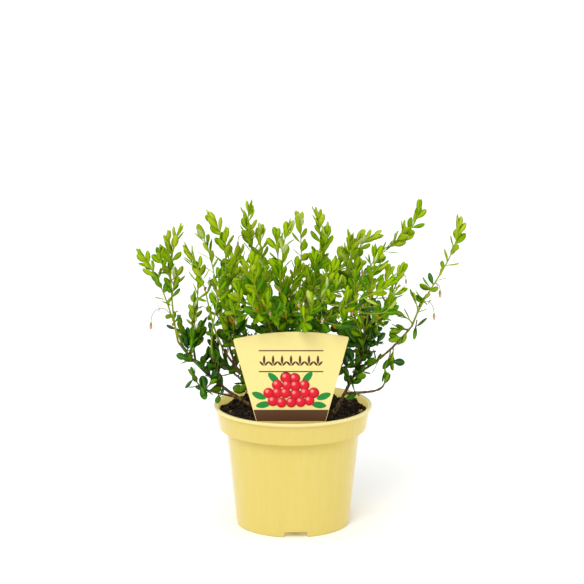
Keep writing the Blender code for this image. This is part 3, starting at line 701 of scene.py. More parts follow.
def crumbs(kind, rng):
    """Rough balls on the bed: S(u, v) = c + s A (f n(u, v)), with f random at each point.

    s is the crumb's size, A its squash and turn, and n the unit sphere. Small crumbs are the commonest.
    """
    size = kind.smallest + (kind.largest - kind.smallest) * rng.uniform(0, 1, kind.count) ** CRUMB_SIZE_POWER
    reach = inner_radius(SOIL_LEVEL) - 1.1 * size
    away = reach * np.sqrt(rng.uniform(0, 1, kind.count))
    turn = rng.uniform(0, 2 * math.pi, kind.count)
    x, y = away * np.cos(turn), away * np.sin(turn)
    feet = np.array(list(STEM_FEET.values()))
    from_stem = np.hypot(x[:, None] - feet[:, 0], y[:, None] - feet[:, 1]).min(axis=1)
    keep = ~(at_card(x, y, CRUMB_CARD_AIR + size) | (from_stem < CRUMB_STEM_AIR + 0.5 * size))
    size, x, y = size[keep], x[keep], y[keep]
    centre = np.column_stack([x, y, bed_height(x, y) + CRUMB_STAND * size])
    girth = np.sqrt(1 - CRUMB_LEVELS**2)
    section = np.vstack([(0.0, -1.0), np.column_stack([girth, CRUMB_LEVELS]), (0.0, 1.0)])
    ball = turned(section, full_turn(CRUMB_SIDES))
    rough = 1 + kind.roughness * rng.uniform(-1, 1, (len(size), *ball.shape[:2], 1))
    side = rng.uniform(0.6, 1, len(size))
    squash = np.stack([np.ones_like(size), side, rng.uniform(kind.flatness, 1, len(size))], axis=-1)
    frames = random_frames(len(size), rng) * size[:, None, None]
    poles = np.concatenate(axis_poles(-1.0, 1.0)) * squash[:, None]
    return placed(frames, centre, ball * rough * squash[:, None, None], poles)


crumb_rng = np.random.default_rng(PEAT_SEED + 1)
for kind in CRUMB_KINDS:
    new_piece(kind.name, *crumbs(kind, crumb_rng), [kind.material], "peat", sharp=CRUMB_SHARP)

# %% Hair roots
ROOT_COUNT = 90
ROOT_ROWS = 9
ROOT_SIDES = 4
ROOT_THICKNESS = 0.00028
ROOT_LENGTH = (0.005, 0.012)
ROOT_CURL = 0.005
ROOT_BRIDGE = (0.0003, 0.0018)
ROOT_LIFT = 0.0004
ROOT_AIR = 0.0015
WALL_TO_ROOTS = 0.012


def hair_roots(rng):
    """Paths over the peat: p(t) = a + t l e + t^2 c f, with e a level direction and f square to it.

    They lie a little over the bed, and rise in the middle like a low bridge.
    """
    t = np.linspace(0, 1, ROOT_ROWS)[None, :, None]
    reach = inner_radius(SOIL_LEVEL) - WALL_TO_ROOTS
    away = reach * np.sqrt(rng.uniform(0, 1, (ROOT_COUNT, 1)))
    place_turn, turn = rng.uniform(0, 2 * math.pi, (2, ROOT_COUNT, 1))
    start = away * np.hstack([np.cos(place_turn), np.sin(place_turn)])
    ahead = np.hstack([np.cos(turn), np.sin(turn)])[:, None]
    beside = np.hstack([-np.sin(turn), np.cos(turn)])[:, None]
    length = rng.uniform(*ROOT_LENGTH, (ROOT_COUNT, 1, 1))
    curl = rng.uniform(-ROOT_CURL, ROOT_CURL, (ROOT_COUNT, 1, 1))
    flat = start[:, None] + t * length * ahead + t**2 * curl * beside
    bridge = np.sin(math.pi * t[..., 0]) * rng.uniform(*ROOT_BRIDGE, (ROOT_COUNT, 1))
    level_of_root = bed_height(flat[..., 0], flat[..., 1]) + ROOT_LIFT + bridge
    lines = np.concatenate([flat, level_of_root[..., None]], axis=-1)
    return lines[~at_card(flat[..., 0], flat[..., 1], ROOT_AIR).any(axis=1)]


root_lines = hair_roots(crumb_rng)
root_radii = np.full(root_lines.shape[:2], ROOT_THICKNESS / 2)
new_piece("hair_roots", *tubes(root_lines, root_radii, ROOT_SIDES), [bark_chip], "peat")

# %% [markdown]
# ## The card
#
# The grower's card is a thin printed fan, stuck into the peat by a stake. A 2D curve with an extrude would
# make it, but the same rings that make a twig also make a plate: the first ring lies on the back, the
# next ones round the edge, and the last on the front.

# %% The card's outline and its plate
def card_half_width(height):
    share = (height - POT_HEIGHT) / (CARD_CORNER_HEIGHT - POT_HEIGHT)
    return CARD_RIM_HALF_WIDTH + (CARD_TOP_HALF_WIDTH - CARD_RIM_HALF_WIDTH) * share


CARD_EDGE = 0.0002
CARD_MIDDLE_HEIGHT = 0.120


def card_outline(corner_radius=0.0022, arch_points=33):
    """The fan's outline as (x, z) about its own middle: an arched top, straight sides and a pointed stake.

    Its corners are rounded, and its top edge rises a little to the right: z grows by rise x / half width.
    """
    rise = CARD_TOP - CARD_CORNER_HEIGHT
    arc_radius = (CARD_TOP_HALF_WIDTH**2 + rise**2) / (2 * rise)
    half_turn = math.asin(CARD_TOP_HALF_WIDTH / arc_radius)
    turns = np.linspace(half_turn, -half_turn, arch_points)[1:-1]
    arch = np.column_stack([arc_radius * np.sin(turns), CARD_TOP - arc_radius * (1 - np.cos(turns))])
    right = np.array([
        (CARD_STAKE_TIP_HALF_WIDTH, CARD_STAKE_FOOT),
        (CARD_STAKE_HALF_WIDTH, CARD_STAKE_TOP),
        (card_half_width(CARD_SHOULDER), CARD_SHOULDER),
        (CARD_TOP_HALF_WIDTH, CARD_CORNER_HEIGHT),
    ])
    middle = np.array([[0.0, CARD_STAKE_FOOT]])
    corner_side = rounded(np.vstack([middle, right, arch[:4]]), corner_radius, 6)[:-4]
    mirrored = corner_side[::-1] * (-1, 1)
    line = np.vstack([corner_side, arch[3:-3], mirrored[:-1]])
    at_top = line[:, 1] > CARD_CORNER_HEIGHT - 2 * corner_radius
    line[:, 1] += at_top * CARD_ARCH_RISE * line[:, 0] / CARD_TOP_HALF_WIDTH
    return line


def outward(outline):
    """The unit normal of a closed outline at each point, to its outside. The outline is anticlockwise."""
    step = np.roll(outline, -1, axis=0) - np.roll(outline, 1, axis=0)
    return unit(np.column_stack([step[:, 1], -step[:, 0]]))


def plate(outline, centre, back, front, edge):
    """Rings of an upright plate between y = back and y = front, whose edges are rounded by edge.

    Seen from the front, at lower y, ring k is the outline moved in by edge (1 - sin a), at a depth that
    is edge (1 - cos a) from the nearer face, for angles a through a half circle.
    """
    turns = np.linspace(0, math.pi, 7)
    inset = edge * (1 - np.sin(turns))
    back_half = back - edge * (1 - np.cos(turns))
    front_half = front + edge * (1 + np.cos(turns))
    depth = np.where(turns < math.pi / 2, back_half, front_half)
    flat = outline[None] - inset[:, None, None] * outward(outline)[None]
    rings = np.stack([flat[..., 0], np.broadcast_to(depth[:, None], flat.shape[:2]), flat[..., 1]], axis=-1)
    poles = [np.array([[centre[0], y, centre[1]]]) for y in (back, front)]
    return capped_rings(rings[None], *poles)


CARD_FRONT = CARD_Y - CARD_THICKNESS / 2
CARD_BACK = CARD_Y + CARD_THICKNESS / 2
card_shape = card_outline() + (CARD_X, 0)
card_points, card_faces = plate(card_shape, (CARD_X, CARD_MIDDLE_HEIGHT), CARD_BACK, CARD_FRONT, CARD_EDGE)
print("the card is", np.ptp(card_points[:, 0]), "wide and reaches", card_points[:, 2].max())

# %% [markdown]
# The stock is cream with a faint grain, and slightly glossy where it is printed. Plain rules and a band
# are printed in brown, a row of small sprigs stands between the rules, and under it lies a heap of red
# berries between green leaves. Each print is a very thin raised layer, so its edges stay crisp.

# %% The card's finishes
def print_ink(name, colour, roughness=0.42):
    """A printed colour with a trace of the stock's grain in its gloss."""
    finish = Finish(name, colour, roughness, Specular_IOR_Level=0.2)
    finish.rough(roughness + finish.noise(900.0) * 0.08)
    return finish


CREAM = (0.80, 0.675, 0.255)
CREAM_GRAIN = (0.75, 0.615, 0.215)
cream = print_ink("cream_card", CREAM, 0.45)
grain = cream.noise(1400.0, 2.0)
cream.colour(cream.mix(cream.ramp(grain, 0.3, 0.7) * 0.10, CREAM, CREAM_GRAIN))
brown_ink = print_ink("brown_ink", (0.088, 0.036, 0.014))
leaf_ink = print_ink("leaf_ink", (0.012, 0.22, 0.035))
card = new_piece("card_plate", card_points, card_faces, [cream.material], "printed_card", sharp=SHARP)
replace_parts(card, "card")

# %% Berry ink
# The dark side, the shine and the edge: a point of the berry's disc, the distances from it where the shade
# is none and full, its strength and its colour.
BERRY_SHADES = (
    ((-0.10, 0.12, 0.0), 0.45, 1.10, 1.0, (0.40, 0.002, 0.010)),
    ((-0.30, 0.36, 0.0), 0.46, 0.06, 0.7, (0.95, 0.40, 0.36)),
    ((0.0, 0.0, 0.0), 0.86, 0.97, 0.8, (0.13, 0.001, 0.004)),
)
berry_ink = Finish("berry_ink", (0.75, 0.02, 0.02), 0.42, Specular_IOR_Level=0.2)
disc = berry_ink.node("UVMap", {"uv_map": "pattern"})
berry_colour = (0.68, 0.006, 0.022)
for point, none, full, strength, colour in BERRY_SHADES:
    away = berry_ink.node("VectorMath", {"operation": "DISTANCE"}, {0: disc, 1: point}, output=1)
    berry_colour = berry_ink.mix(berry_ink.ramp(away, none, full) * strength, berry_colour, colour)
berry_ink.colour(berry_colour)
print("berry ink has", len(berry_ink.tree.nodes), "nodes")

# %% Thin raised prints
PRINT_LIFT = 0.00006
PRINT_FOOT = -0.00002
RAISED_SHARES = np.array([1.0, 1.0, 0.8, 0.5, 0.2])


def raised(outlines, centres, levels=PRINT_LIFT, dome=0.0):
    """Low closed forms on the card's front, each outline filled in and crowned like a lens.

    outlines is (count, sides, 2) about each form's own centre, centres are places from the card's middle
    line, and levels is the height off the card, of all or of each. Ring k lies at share s of the outline,
    at level + dome (1 - s^2).
    """
    centres = centres + (CARD_X, 0)
    levels = np.broadcast_to(levels, len(outlines))
    rise = levels[:, None] + dome * (1 - RAISED_SHARES**2)
    rise[:, 0] = PRINT_FOOT
    flat = centres[:, None, None] + RAISED_SHARES[:, None, None] * outlines[:, None]
    depth = np.broadcast_to((CARD_FRONT - rise)[..., None], flat.shape[:3])
    rings = np.stack([flat[..., 0], depth, flat[..., 1]], axis=-1)
    bottom = np.column_stack([centres[:, 0], CARD_FRONT - rise[:, 0], centres[:, 1]])
    top = np.column_stack([centres[:, 0], CARD_FRONT - (levels + dome), centres[:, 1]])
    return capped_rings(rings, bottom, top)


def raised_uv(outlines, scale):
    """Places on the pattern for raised forms: the ring's share times its outline over scale."""
    flat = RAISED_SHARES[:, None, None] * outlines[:, None] / scale
    rings = flat.reshape(len(outlines), -1, 2)
    pole = np.zeros((len(outlines), 1, 2))
    return np.concatenate([pole, rings, pole], axis=1).reshape(-1, 2)


RULE_LEVELS = (0.1288, 0.1446)
RULE_HALF_LENGTH = 0.0238
RULE_HALF_THICKNESS = 0.00042
BAND_FOOT = 0.0910
BAND_TOP = 0.0997
BAND_MARGIN = 0.0004
rule_box = np.array([(-1, -1), (1, -1), (1, 1), (-1, 1)]) * (RULE_HALF_LENGTH, RULE_HALF_THICKNESS)
rule_places = np.array([(0.0, height) for height in RULE_LEVELS])
rules = raised(np.repeat(rule_box[None], 2, axis=0), rule_places)
band_middle = (BAND_FOOT + BAND_TOP) / 2
band_low = card_half_width(BAND_FOOT) - BAND_MARGIN
band_high = card_half_width(BAND_TOP) - BAND_MARGIN
band_box = np.array([
    (-band_low, BAND_FOOT),
    (band_low, BAND_FOOT),
    (band_high, BAND_TOP),
    (-band_high, BAND_TOP),
]) - (0, band_middle)
band = raised(band_box[None], np.array([[0.0, band_middle]]))
print("the band is", 2 * band_low, "wide at its foot")

# %% A row of sprigs between the rules
def petals(turns, length, width, sides=14):
    """Leaf outlines about their own middle: x = w sin(t) |sin(t)|^0.35 / 2, y = -l cos(t) / 2."""
    t = full_turn(sides)
    across = width / 2 * np.sin(t) * np.abs(np.sin(t)) ** 0.35
    along = -length / 2 * np.cos(t)
    cos, sin = np.cos(turns)[:, None], np.sin(turns)[:, None]
    return np.stack([across * cos - along * sin, across * sin + along * cos], axis=-1)


SPRIG_COUNT = 7
SPRIG_STEP = 0.0066
SPRIG_MIDDLE = (RULE_LEVELS[0] + RULE_LEVELS[1]) / 2
TALL_RISE = 0.0010
TALL_LEAF = (0.0068, 0.0019)
SIDE_STEP = 0.0018
SIDE_DROP = 0.0018
SIDE_LEAF = (0.0046, 0.0016)
SIDE_TURN = 0.75

sprig_x = SPRIG_STEP * (np.arange(SPRIG_COUNT) - (SPRIG_COUNT - 1) / 2)
tall_places = np.column_stack([sprig_x, np.full(SPRIG_COUNT, SPRIG_MIDDLE + TALL_RISE)])
tall = petals(np.zeros(SPRIG_COUNT), *TALL_LEAF)
side_x = (sprig_x[:, None] + SIDE_STEP * np.array([-1, 1])).ravel()
side_places = np.column_stack([side_x, np.full(2 * SPRIG_COUNT, SPRIG_MIDDLE - SIDE_DROP)])
side = petals(np.tile([SIDE_TURN, -SIDE_TURN], SPRIG_COUNT), *SIDE_LEAF)
sprigs = [raised(tall, tall_places), raised(side, side_places, 1.2 * PRINT_LIFT)]
new_piece("print_brown", *joined([rules, band, *sprigs]), [brown_ink.material], "printed_card", sharp=SHARP)

# %% A heap of berries between leaves
BERRY_RADIUS = 0.0041
BERRY_ROWS = (5, 6, 4, 2)
BERRY_STEP = 0.0068
BERRY_ROW_RISE = 0.0060
BERRY_FOOT = 0.1060
BERRY_PLAY = 0.0008
BERRY_SIZE_PLAY = (0.90, 1.04)
BERRY_DOME = 0.00012
BERRY_LIFTS = (2, 1.4, 0.7)
BERRY_SIDES = 24
PRINT_LEAF = (0.0112, 0.0050)
PRINT_LEAF_SIDES = 20
PRINT_LEAF_DOME = 0.00004

row_numbers = np.repeat(np.arange(len(BERRY_ROWS)), BERRY_ROWS)
in_row = np.concatenate([np.arange(count) - (count - 1) / 2 for count in BERRY_ROWS])
berry_places = np.column_stack([BERRY_STEP * in_row, BERRY_FOOT + BERRY_ROW_RISE * row_numbers])
berry_rng = np.random.default_rng(PEAT_SEED + 4)
berry_places = berry_places + berry_rng.uniform(-BERRY_PLAY, BERRY_PLAY, berry_places.shape)
berry_turns = full_turn(BERRY_SIDES)
berry_ring = BERRY_RADIUS * np.column_stack([np.cos(berry_turns), np.sin(berry_turns)])
berry_sizes = berry_rng.uniform(*BERRY_SIZE_PLAY, len(berry_places))
berry_rings = berry_sizes[:, None, None] * berry_ring
rows_above = len(BERRY_ROWS) - row_numbers
every_other = np.arange(len(berry_places)) % 2
least_lift, row_lift, neighbour_lift = BERRY_LIFTS
stacked = PRINT_LIFT * (least_lift + row_lift * rows_above + neighbour_lift * every_other)
berries = raised(berry_rings, berry_places, stacked, BERRY_DOME)
berry_uv = raised_uv(berry_rings, BERRY_RADIUS)
new_piece("print_berries", *berries, [berry_ink.material], "printed_card", uv=berry_uv, sharp=SHARP)
leaf_places = np.array([(-0.0205, 0.1036), (0.0205, 0.1034), (-0.0238, 0.1105), (0.0242, 0.1100),
                        (-0.0128, 0.1238), (0.0120, 0.1242)])
leaf_turns = np.array([1.75, -1.70, 1.15, -1.20, 0.80, -0.70])
leaf_outlines = petals(leaf_turns, *PRINT_LEAF, PRINT_LEAF_SIDES)
leaf_print = raised(leaf_outlines, leaf_places, dome=PRINT_LEAF_DOME)
new_piece("print_leaves", *leaf_print, [leaf_ink.material], "printed_card", sharp=SHARP)

# %% [markdown]
# ## The rule that the plant grows by
#
# A cranberry sends up thin woody stems that fork low down, and every branch ends in a green shoot with
# leaves set spirally. A limb here is one cubic Bezier curve: it leaves its foot or fork in a given
# direction and bends round until it points at the sky. The rule, its seed and its order of random draws are
# those of the solids, so every limb comes out where its solid is.

# %% Sizes of limbs and shoots
STEM_RADIUS = 0.00185
BOUGH_RADIUS = 0.00125
WOOD_TIP_RADIUS = 0.00095
ROOT_FLARE = 1.55
LIMB_HANDLE = 0.36
TIP_LEAN = 0.22
SHOOT_POINTS = 5
SIDE_SHOOT_FORK = (0.04, 0.50)
SIDE_SHOOT_REACH = (0.45, 1.0)
SIDE_SHOOT_DROP = (0.007, 0.045)
SIDE_SHOOT_MOST_DROP = 0.55
SIDE_SHOOT_TRIES = 6
SHOOT_AIR = 0.0065
CROWN_OVERREACH = 0.003
GOLDEN_ANGLE = math.radians(137.5)
SEED = 7

# Each clump has one leading limb, from its foot or fork to its highest tip.
# stem: the stem that it grows from. fork: how far along that stem's leading limb it forks, or 0 where
# it is the stem's own end. lean: how many degrees from upright it sets out, towards its tip.
# tip: the place of its highest tip. bare: the share of its way that is bare wood. shoots: how many
# side shoots it has. spread: how far they stand from it. tip_lean: how far its tip leans outwards.
Clump = namedtuple("Clump", "stem fork lean tip bare shoots spread tip_lean", defaults=(0.22,))
CLUMPS = {
    "right": Clump("right", 0.0, 27, (0.083, -0.016, 0.221), 0.36, 3, 0.017),
    "low_right": Clump("right", 0.11, 72, (0.070, -0.020, 0.116), 0.45, 1, 0.011),
    "far_right": Clump("right", 0.22, 60, (0.122, -0.008, 0.229), 0.42, 1, 0.011),
    "front_right": Clump("right", 0.30, 24, (0.062, -0.044, 0.210), 0.20, 3, 0.019),
    "high_right": Clump("right_inner", 0.0, 14, (0.091, 0.006, 0.240), 0.34, 2, 0.015, 0.75),
    "low_middle_right": Clump("right_inner", 0.12, 50, (0.060, -0.002, 0.149), 0.34, 2, 0.013),
    "back_right": Clump("right_inner", 0.20, 44, (0.074, 0.052, 0.208), 0.34, 3, 0.019),
    "middle_right": Clump("right_inner", 0.28, 22, (0.050, 0.016, 0.214), 0.24, 3, 0.017),
    "far_left": Clump("left", 0.0, 62, (-0.113, -0.010, 0.204), 0.50, 2, 0.013),
    "low_left": Clump("left", 0.13, 62, (-0.074, -0.022, 0.120), 0.45, 1, 0.012),
    "front_left": Clump("left", 0.24, 26, (-0.076, -0.038, 0.204), 0.26, 3, 0.017),
    "high_left": Clump("left", 0.42, 14, (-0.087, 0.010, 0.219), 0.12, 2, 0.013),
    "inner_left": Clump("left_inner", 0.0, 50, (-0.079, -0.012, 0.208), 0.38, 2, 0.013),
    "low_middle_left": Clump("left_inner", 0.14, 60, (-0.060, 0.010, 0.140), 0.34, 2, 0.013),
    "middle_left": Clump("left_inner", 0.24, 16, (-0.062, 0.000, 0.231), 0.24, 3, 0.017),
    "back_left": Clump("left_inner", 0.33, 40, (-0.070, 0.054, 0.206), 0.30, 3, 0.019),
    "centre_left": Clump("centre", 0.0, 8, (-0.032, 0.010, 0.237), 0.34, 3, 0.017),
    "centre_right": Clump("centre", 0.09, 18, (0.018, -0.002, 0.236), 0.28, 3, 0.017),
    "centre": Clump("centre", 0.16, 4, (-0.005, -0.026, 0.230), 0.26, 3, 0.016),
    "front_middle_left": Clump("centre", 0.22, 30, (-0.030, -0.060, 0.212), 0.32, 3, 0.018),
    "front_middle_right": Clump("centre", 0.29, 32, (0.026, -0.062, 0.210), 0.30, 3, 0.018),
    "back_middle": Clump("back", 0.0, 20, (0.002, 0.046, 0.220), 0.36, 3, 0.018),
    "low_back_left": Clump("back", 0.09, 58, (-0.040, 0.062, 0.140), 0.40, 2, 0.013),
    "low_back_right": Clump("back", 0.15, 58, (0.046, 0.060, 0.138), 0.40, 2, 0.013),
    "far_back_left": Clump("back", 0.23, 44, (-0.040, 0.082, 0.206), 0.32, 3, 0.019),
    "far_back_right": Clump("back", 0.30, 44, (0.038, 0.084, 0.208), 0.32, 3, 0.019),
}
print("clumps:", len(CLUMPS))

# %% Curves of growth
def bezier(ends, share):
    """B(s) = (1-s)^3 a + 3 s (1-s)^2 b + 3 s^2 (1-s) c + s^3 d, at an array of shares s.

    ends is (4, 3) for one curve and (count, 4, 3) for many, whose shares are (count, points).
    """
    share = np.atleast_1d(share)[..., None]
    rest = 1 - share
    first, second, third, last = np.moveaxis(np.asarray(ends, float)[..., None, :], -3, 0)
    return rest**3 * first + 3 * rest**2 * share * second + 3 * rest * share**2 * third + share**3 * last


def bezier_direction(ends, share):
    """The unit vector along the curve at one share of its way, from two near points."""
    near = bezier(ends, np.clip(share - 0.01, 0, 1))[0]
    far_point = bezier(ends, np.clip(share + 0.01, 0, 1))[0]
    return unit(far_point - near)


def growth_curve(start, start_way, tip, end_way):
    """Four control points: it leaves along start_way and arrives along end_way. |b - a| = 0.36 |d - a|."""
    start, tip = np.asarray(start, float), np.asarray(tip, float)
    handle = LIMB_HANDLE * np.linalg.norm(tip - start)
    return start, start + handle * unit(start_way), tip - handle * unit(end_way), tip


def level(vector):
    """The unit vector of the level part of a vector."""
    return unit((vector[0], vector[1], 0.0))


def heading(turn):
    """The level direction at an angle: (cos a, sin a, 0)."""
    return np.array([math.cos(turn), math.sin(turn), 0.0])


def clump_curves():
    """Each clump's leading limb, from its foot or fork to its highest tip."""
    curves = {}
    leaders = {}
    for name, clump in CLUMPS.items():
        if clump.fork == 0.0:
            start = np.array([*STEM_FEET[clump.stem], FOOT_LEVEL])
        else:
            start = bezier(leaders[clump.stem], clump.fork)[0]
        lean = math.radians(clump.lean)
        start_way = math.sin(lean) * level(clump.tip - start) + (0, 0, math.cos(lean))
        end_way = clump.tip_lean * level(clump.tip) + (0, 0, 1)
        curves[name] = growth_curve(start, start_way, clump.tip, end_way)
        if clump.fork == 0.0:
            leaders[clump.stem] = curves[name]
    return curves


curves = clump_curves()
print("leading limbs:", len(curves))

# %% [markdown]
# Side shoots are tried at the golden angle round their leader. One stays only where it is clear of the
# other shoots and of the card, and inside the crown. That is how the gaps between shoots stay open.

# %% Side shoots by the solids' rule
def polyline(ends, start_share):
    return bezier(ends, np.linspace(start_share, 1, SHOOT_POINTS))


def point_on(ends, start_share, share):
    """The point at a share of a curve, on the straight pieces between its few points."""
    line = polyline(ends, start_share)
    knots = np.linspace(start_share, 1, SHOOT_POINTS)
    return np.array([np.interp(share, knots, line[:, axis]) for axis in range(3)])


def polyline_length(points):
    return float(np.linalg.norm(np.diff(points, axis=0), axis=1).sum())


def distances(points, lines):
    """The least distance of each point from any of a list of polylines."""
    if not lines:
        return np.full(len(points), np.inf)
    starts = np.vstack([line[:-1] for line in lines])
    steps = np.vstack([line[1:] for line in lines]) - starts
    away = points[:, None, :] - starts[None, :, :]
    share = np.clip((away * steps).sum(2) / (steps * steps).sum(1), 0, 1)
    return np.linalg.norm(away - share[..., None] * steps, axis=2).min(axis=1)


def touches_card(points, air):
    """True for each point that is within the air of the card, seen as a slab from the peat to its top."""
    near = np.abs(points[..., 1] - CARD_Y) < CARD_THICKNESS / 2 + air
    beside = np.abs(points[..., 0] - CARD_X) < CARD_TOP_HALF_WIDTH + air
    return near & beside & (points[..., 2] < CARD_TOP + air)


def side_shoot(rng, turn, leader, start_share, spread):
    """It forks from the lower half of its clump's leader and stands beside its tip."""
    fork = start_share + (1 - start_share) * rng.uniform(*SIDE_SHOOT_FORK)
    outward_way = heading(turn)
    start = point_on(leader, start_share, fork)
    drop = min(rng.uniform(*SIDE_SHOOT_DROP), SIDE_SHOOT_MOST_DROP * (leader[3][2] - start[2]))
    tip = leader[3] + spread * rng.uniform(*SIDE_SHOOT_REACH) * outward_way - (0, 0, drop)
    start_way = bezier_direction(leader, fork) + unit(tip - start) + outward_way
    return growth_curve(start, start_way, tip, TIP_LEAN * outward_way + (0, 0, 1))


def grow_shoots(curves):
    """Each clump's green shoots as (curve, share where it starts): the leader, then its side shoots."""
    shoots = {}
    for name, clump in CLUMPS.items():
        length = polyline_length(polyline(curves[name], 0.0))
        shoots[name] = [(curves[name], clump.bare + 2 * GAP / length)]
    rng = np.random.default_rng(SEED)
    for name, clump in CLUMPS.items():
        leader, start_share = shoots[name][0]
        phase = rng.uniform(0, 2 * math.pi)
        others = [polyline(*other) for key in shoots if key != name for other in shoots[key]]
        for number in range(SIDE_SHOOT_TRIES * clump.shoots):
            shoot = side_shoot(rng, phase + number * GOLDEN_ANGLE, leader, start_share, clump.spread)
            line = polyline(shoot, 0.0)
            own = [polyline(*other) for other in shoots[name]]
            air = min(distances(line, others).min(), distances(line[-2:], own).min())
            reach = math.hypot(*shoot[3][:2]) - math.hypot(*clump.tip[:2])
            clear = not np.any(touches_card(line, SHOOT_AIR))
            if air > SHOOT_AIR and reach < CROWN_OVERREACH and clear:
                shoots[name].append((shoot, 0.0))
            if len(shoots[name]) > clump.shoots:
                break
    return shoots


shoots = grow_shoots(curves)
print("shoots:", sum(len(several) for several in shoots.values()))

# %% [markdown]
# ## The photograph's view
#
# The camera looks down by twelve degrees through a long lens, from 1.8 m. With its place known, a pixel of
# the photograph and a depth give one point in space. So a shoot can be set where it is seen, and still be
# grown from the limb that carries it.

# %% From a pixel to a place
PHOTO_SIZE = 584
CAMERA_DISTANCE = 1.8
CAMERA_ELEVATION = math.radians(12.116)
CAMERA_AIM = np.array([-0.0007, 0.0, 0.1789])
CAMERA_LENS = 147.8
SENSOR_WIDTH = 36.0

looking_back = np.array([0.0, -math.cos(CAMERA_ELEVATION), math.sin(CAMERA_ELEVATION)])
camera_up = np.array([0.0, math.sin(CAMERA_ELEVATION), math.cos(CAMERA_ELEVATION)])
camera_place = CAMERA_AIM + CAMERA_DISTANCE * looking_back
focus = CAMERA_LENS / SENSOR_WIDTH * PHOTO_SIZE


def seen_at(pixel, depth):
    """The point behind a pixel at y = depth: c + t r, with r the view's axis plus (across, up) / focus."""
    across = (pixel[0] - PHOTO_SIZE / 2) / focus
    upwards = (PHOTO_SIZE / 2 - pixel[1]) / focus
    ray = upwards * camera_up - looking_back + (across, 0, 0)
    return camera_place + (depth - camera_place[1]) / ray[1] * ray


print("the photo's middle lies at", seen_at((PHOTO_SIZE / 2, PHOTO_SIZE / 2), 0.0).round(4))

# %% [markdown]
# ## The shoots that stand out
#
# Some shoots can be told apart in the photograph. Each has a row in a table: its place on the limb that
# carries it, the pixel where its last leaf ends, its depth and its lean. The curve between follows the
# same rule of growth, so it grows out of the wood without a kink. In the open clumps the rows take the place
# of all the solids' own shoots. Three clumps are seen by half: there they replace the leading shoot only.

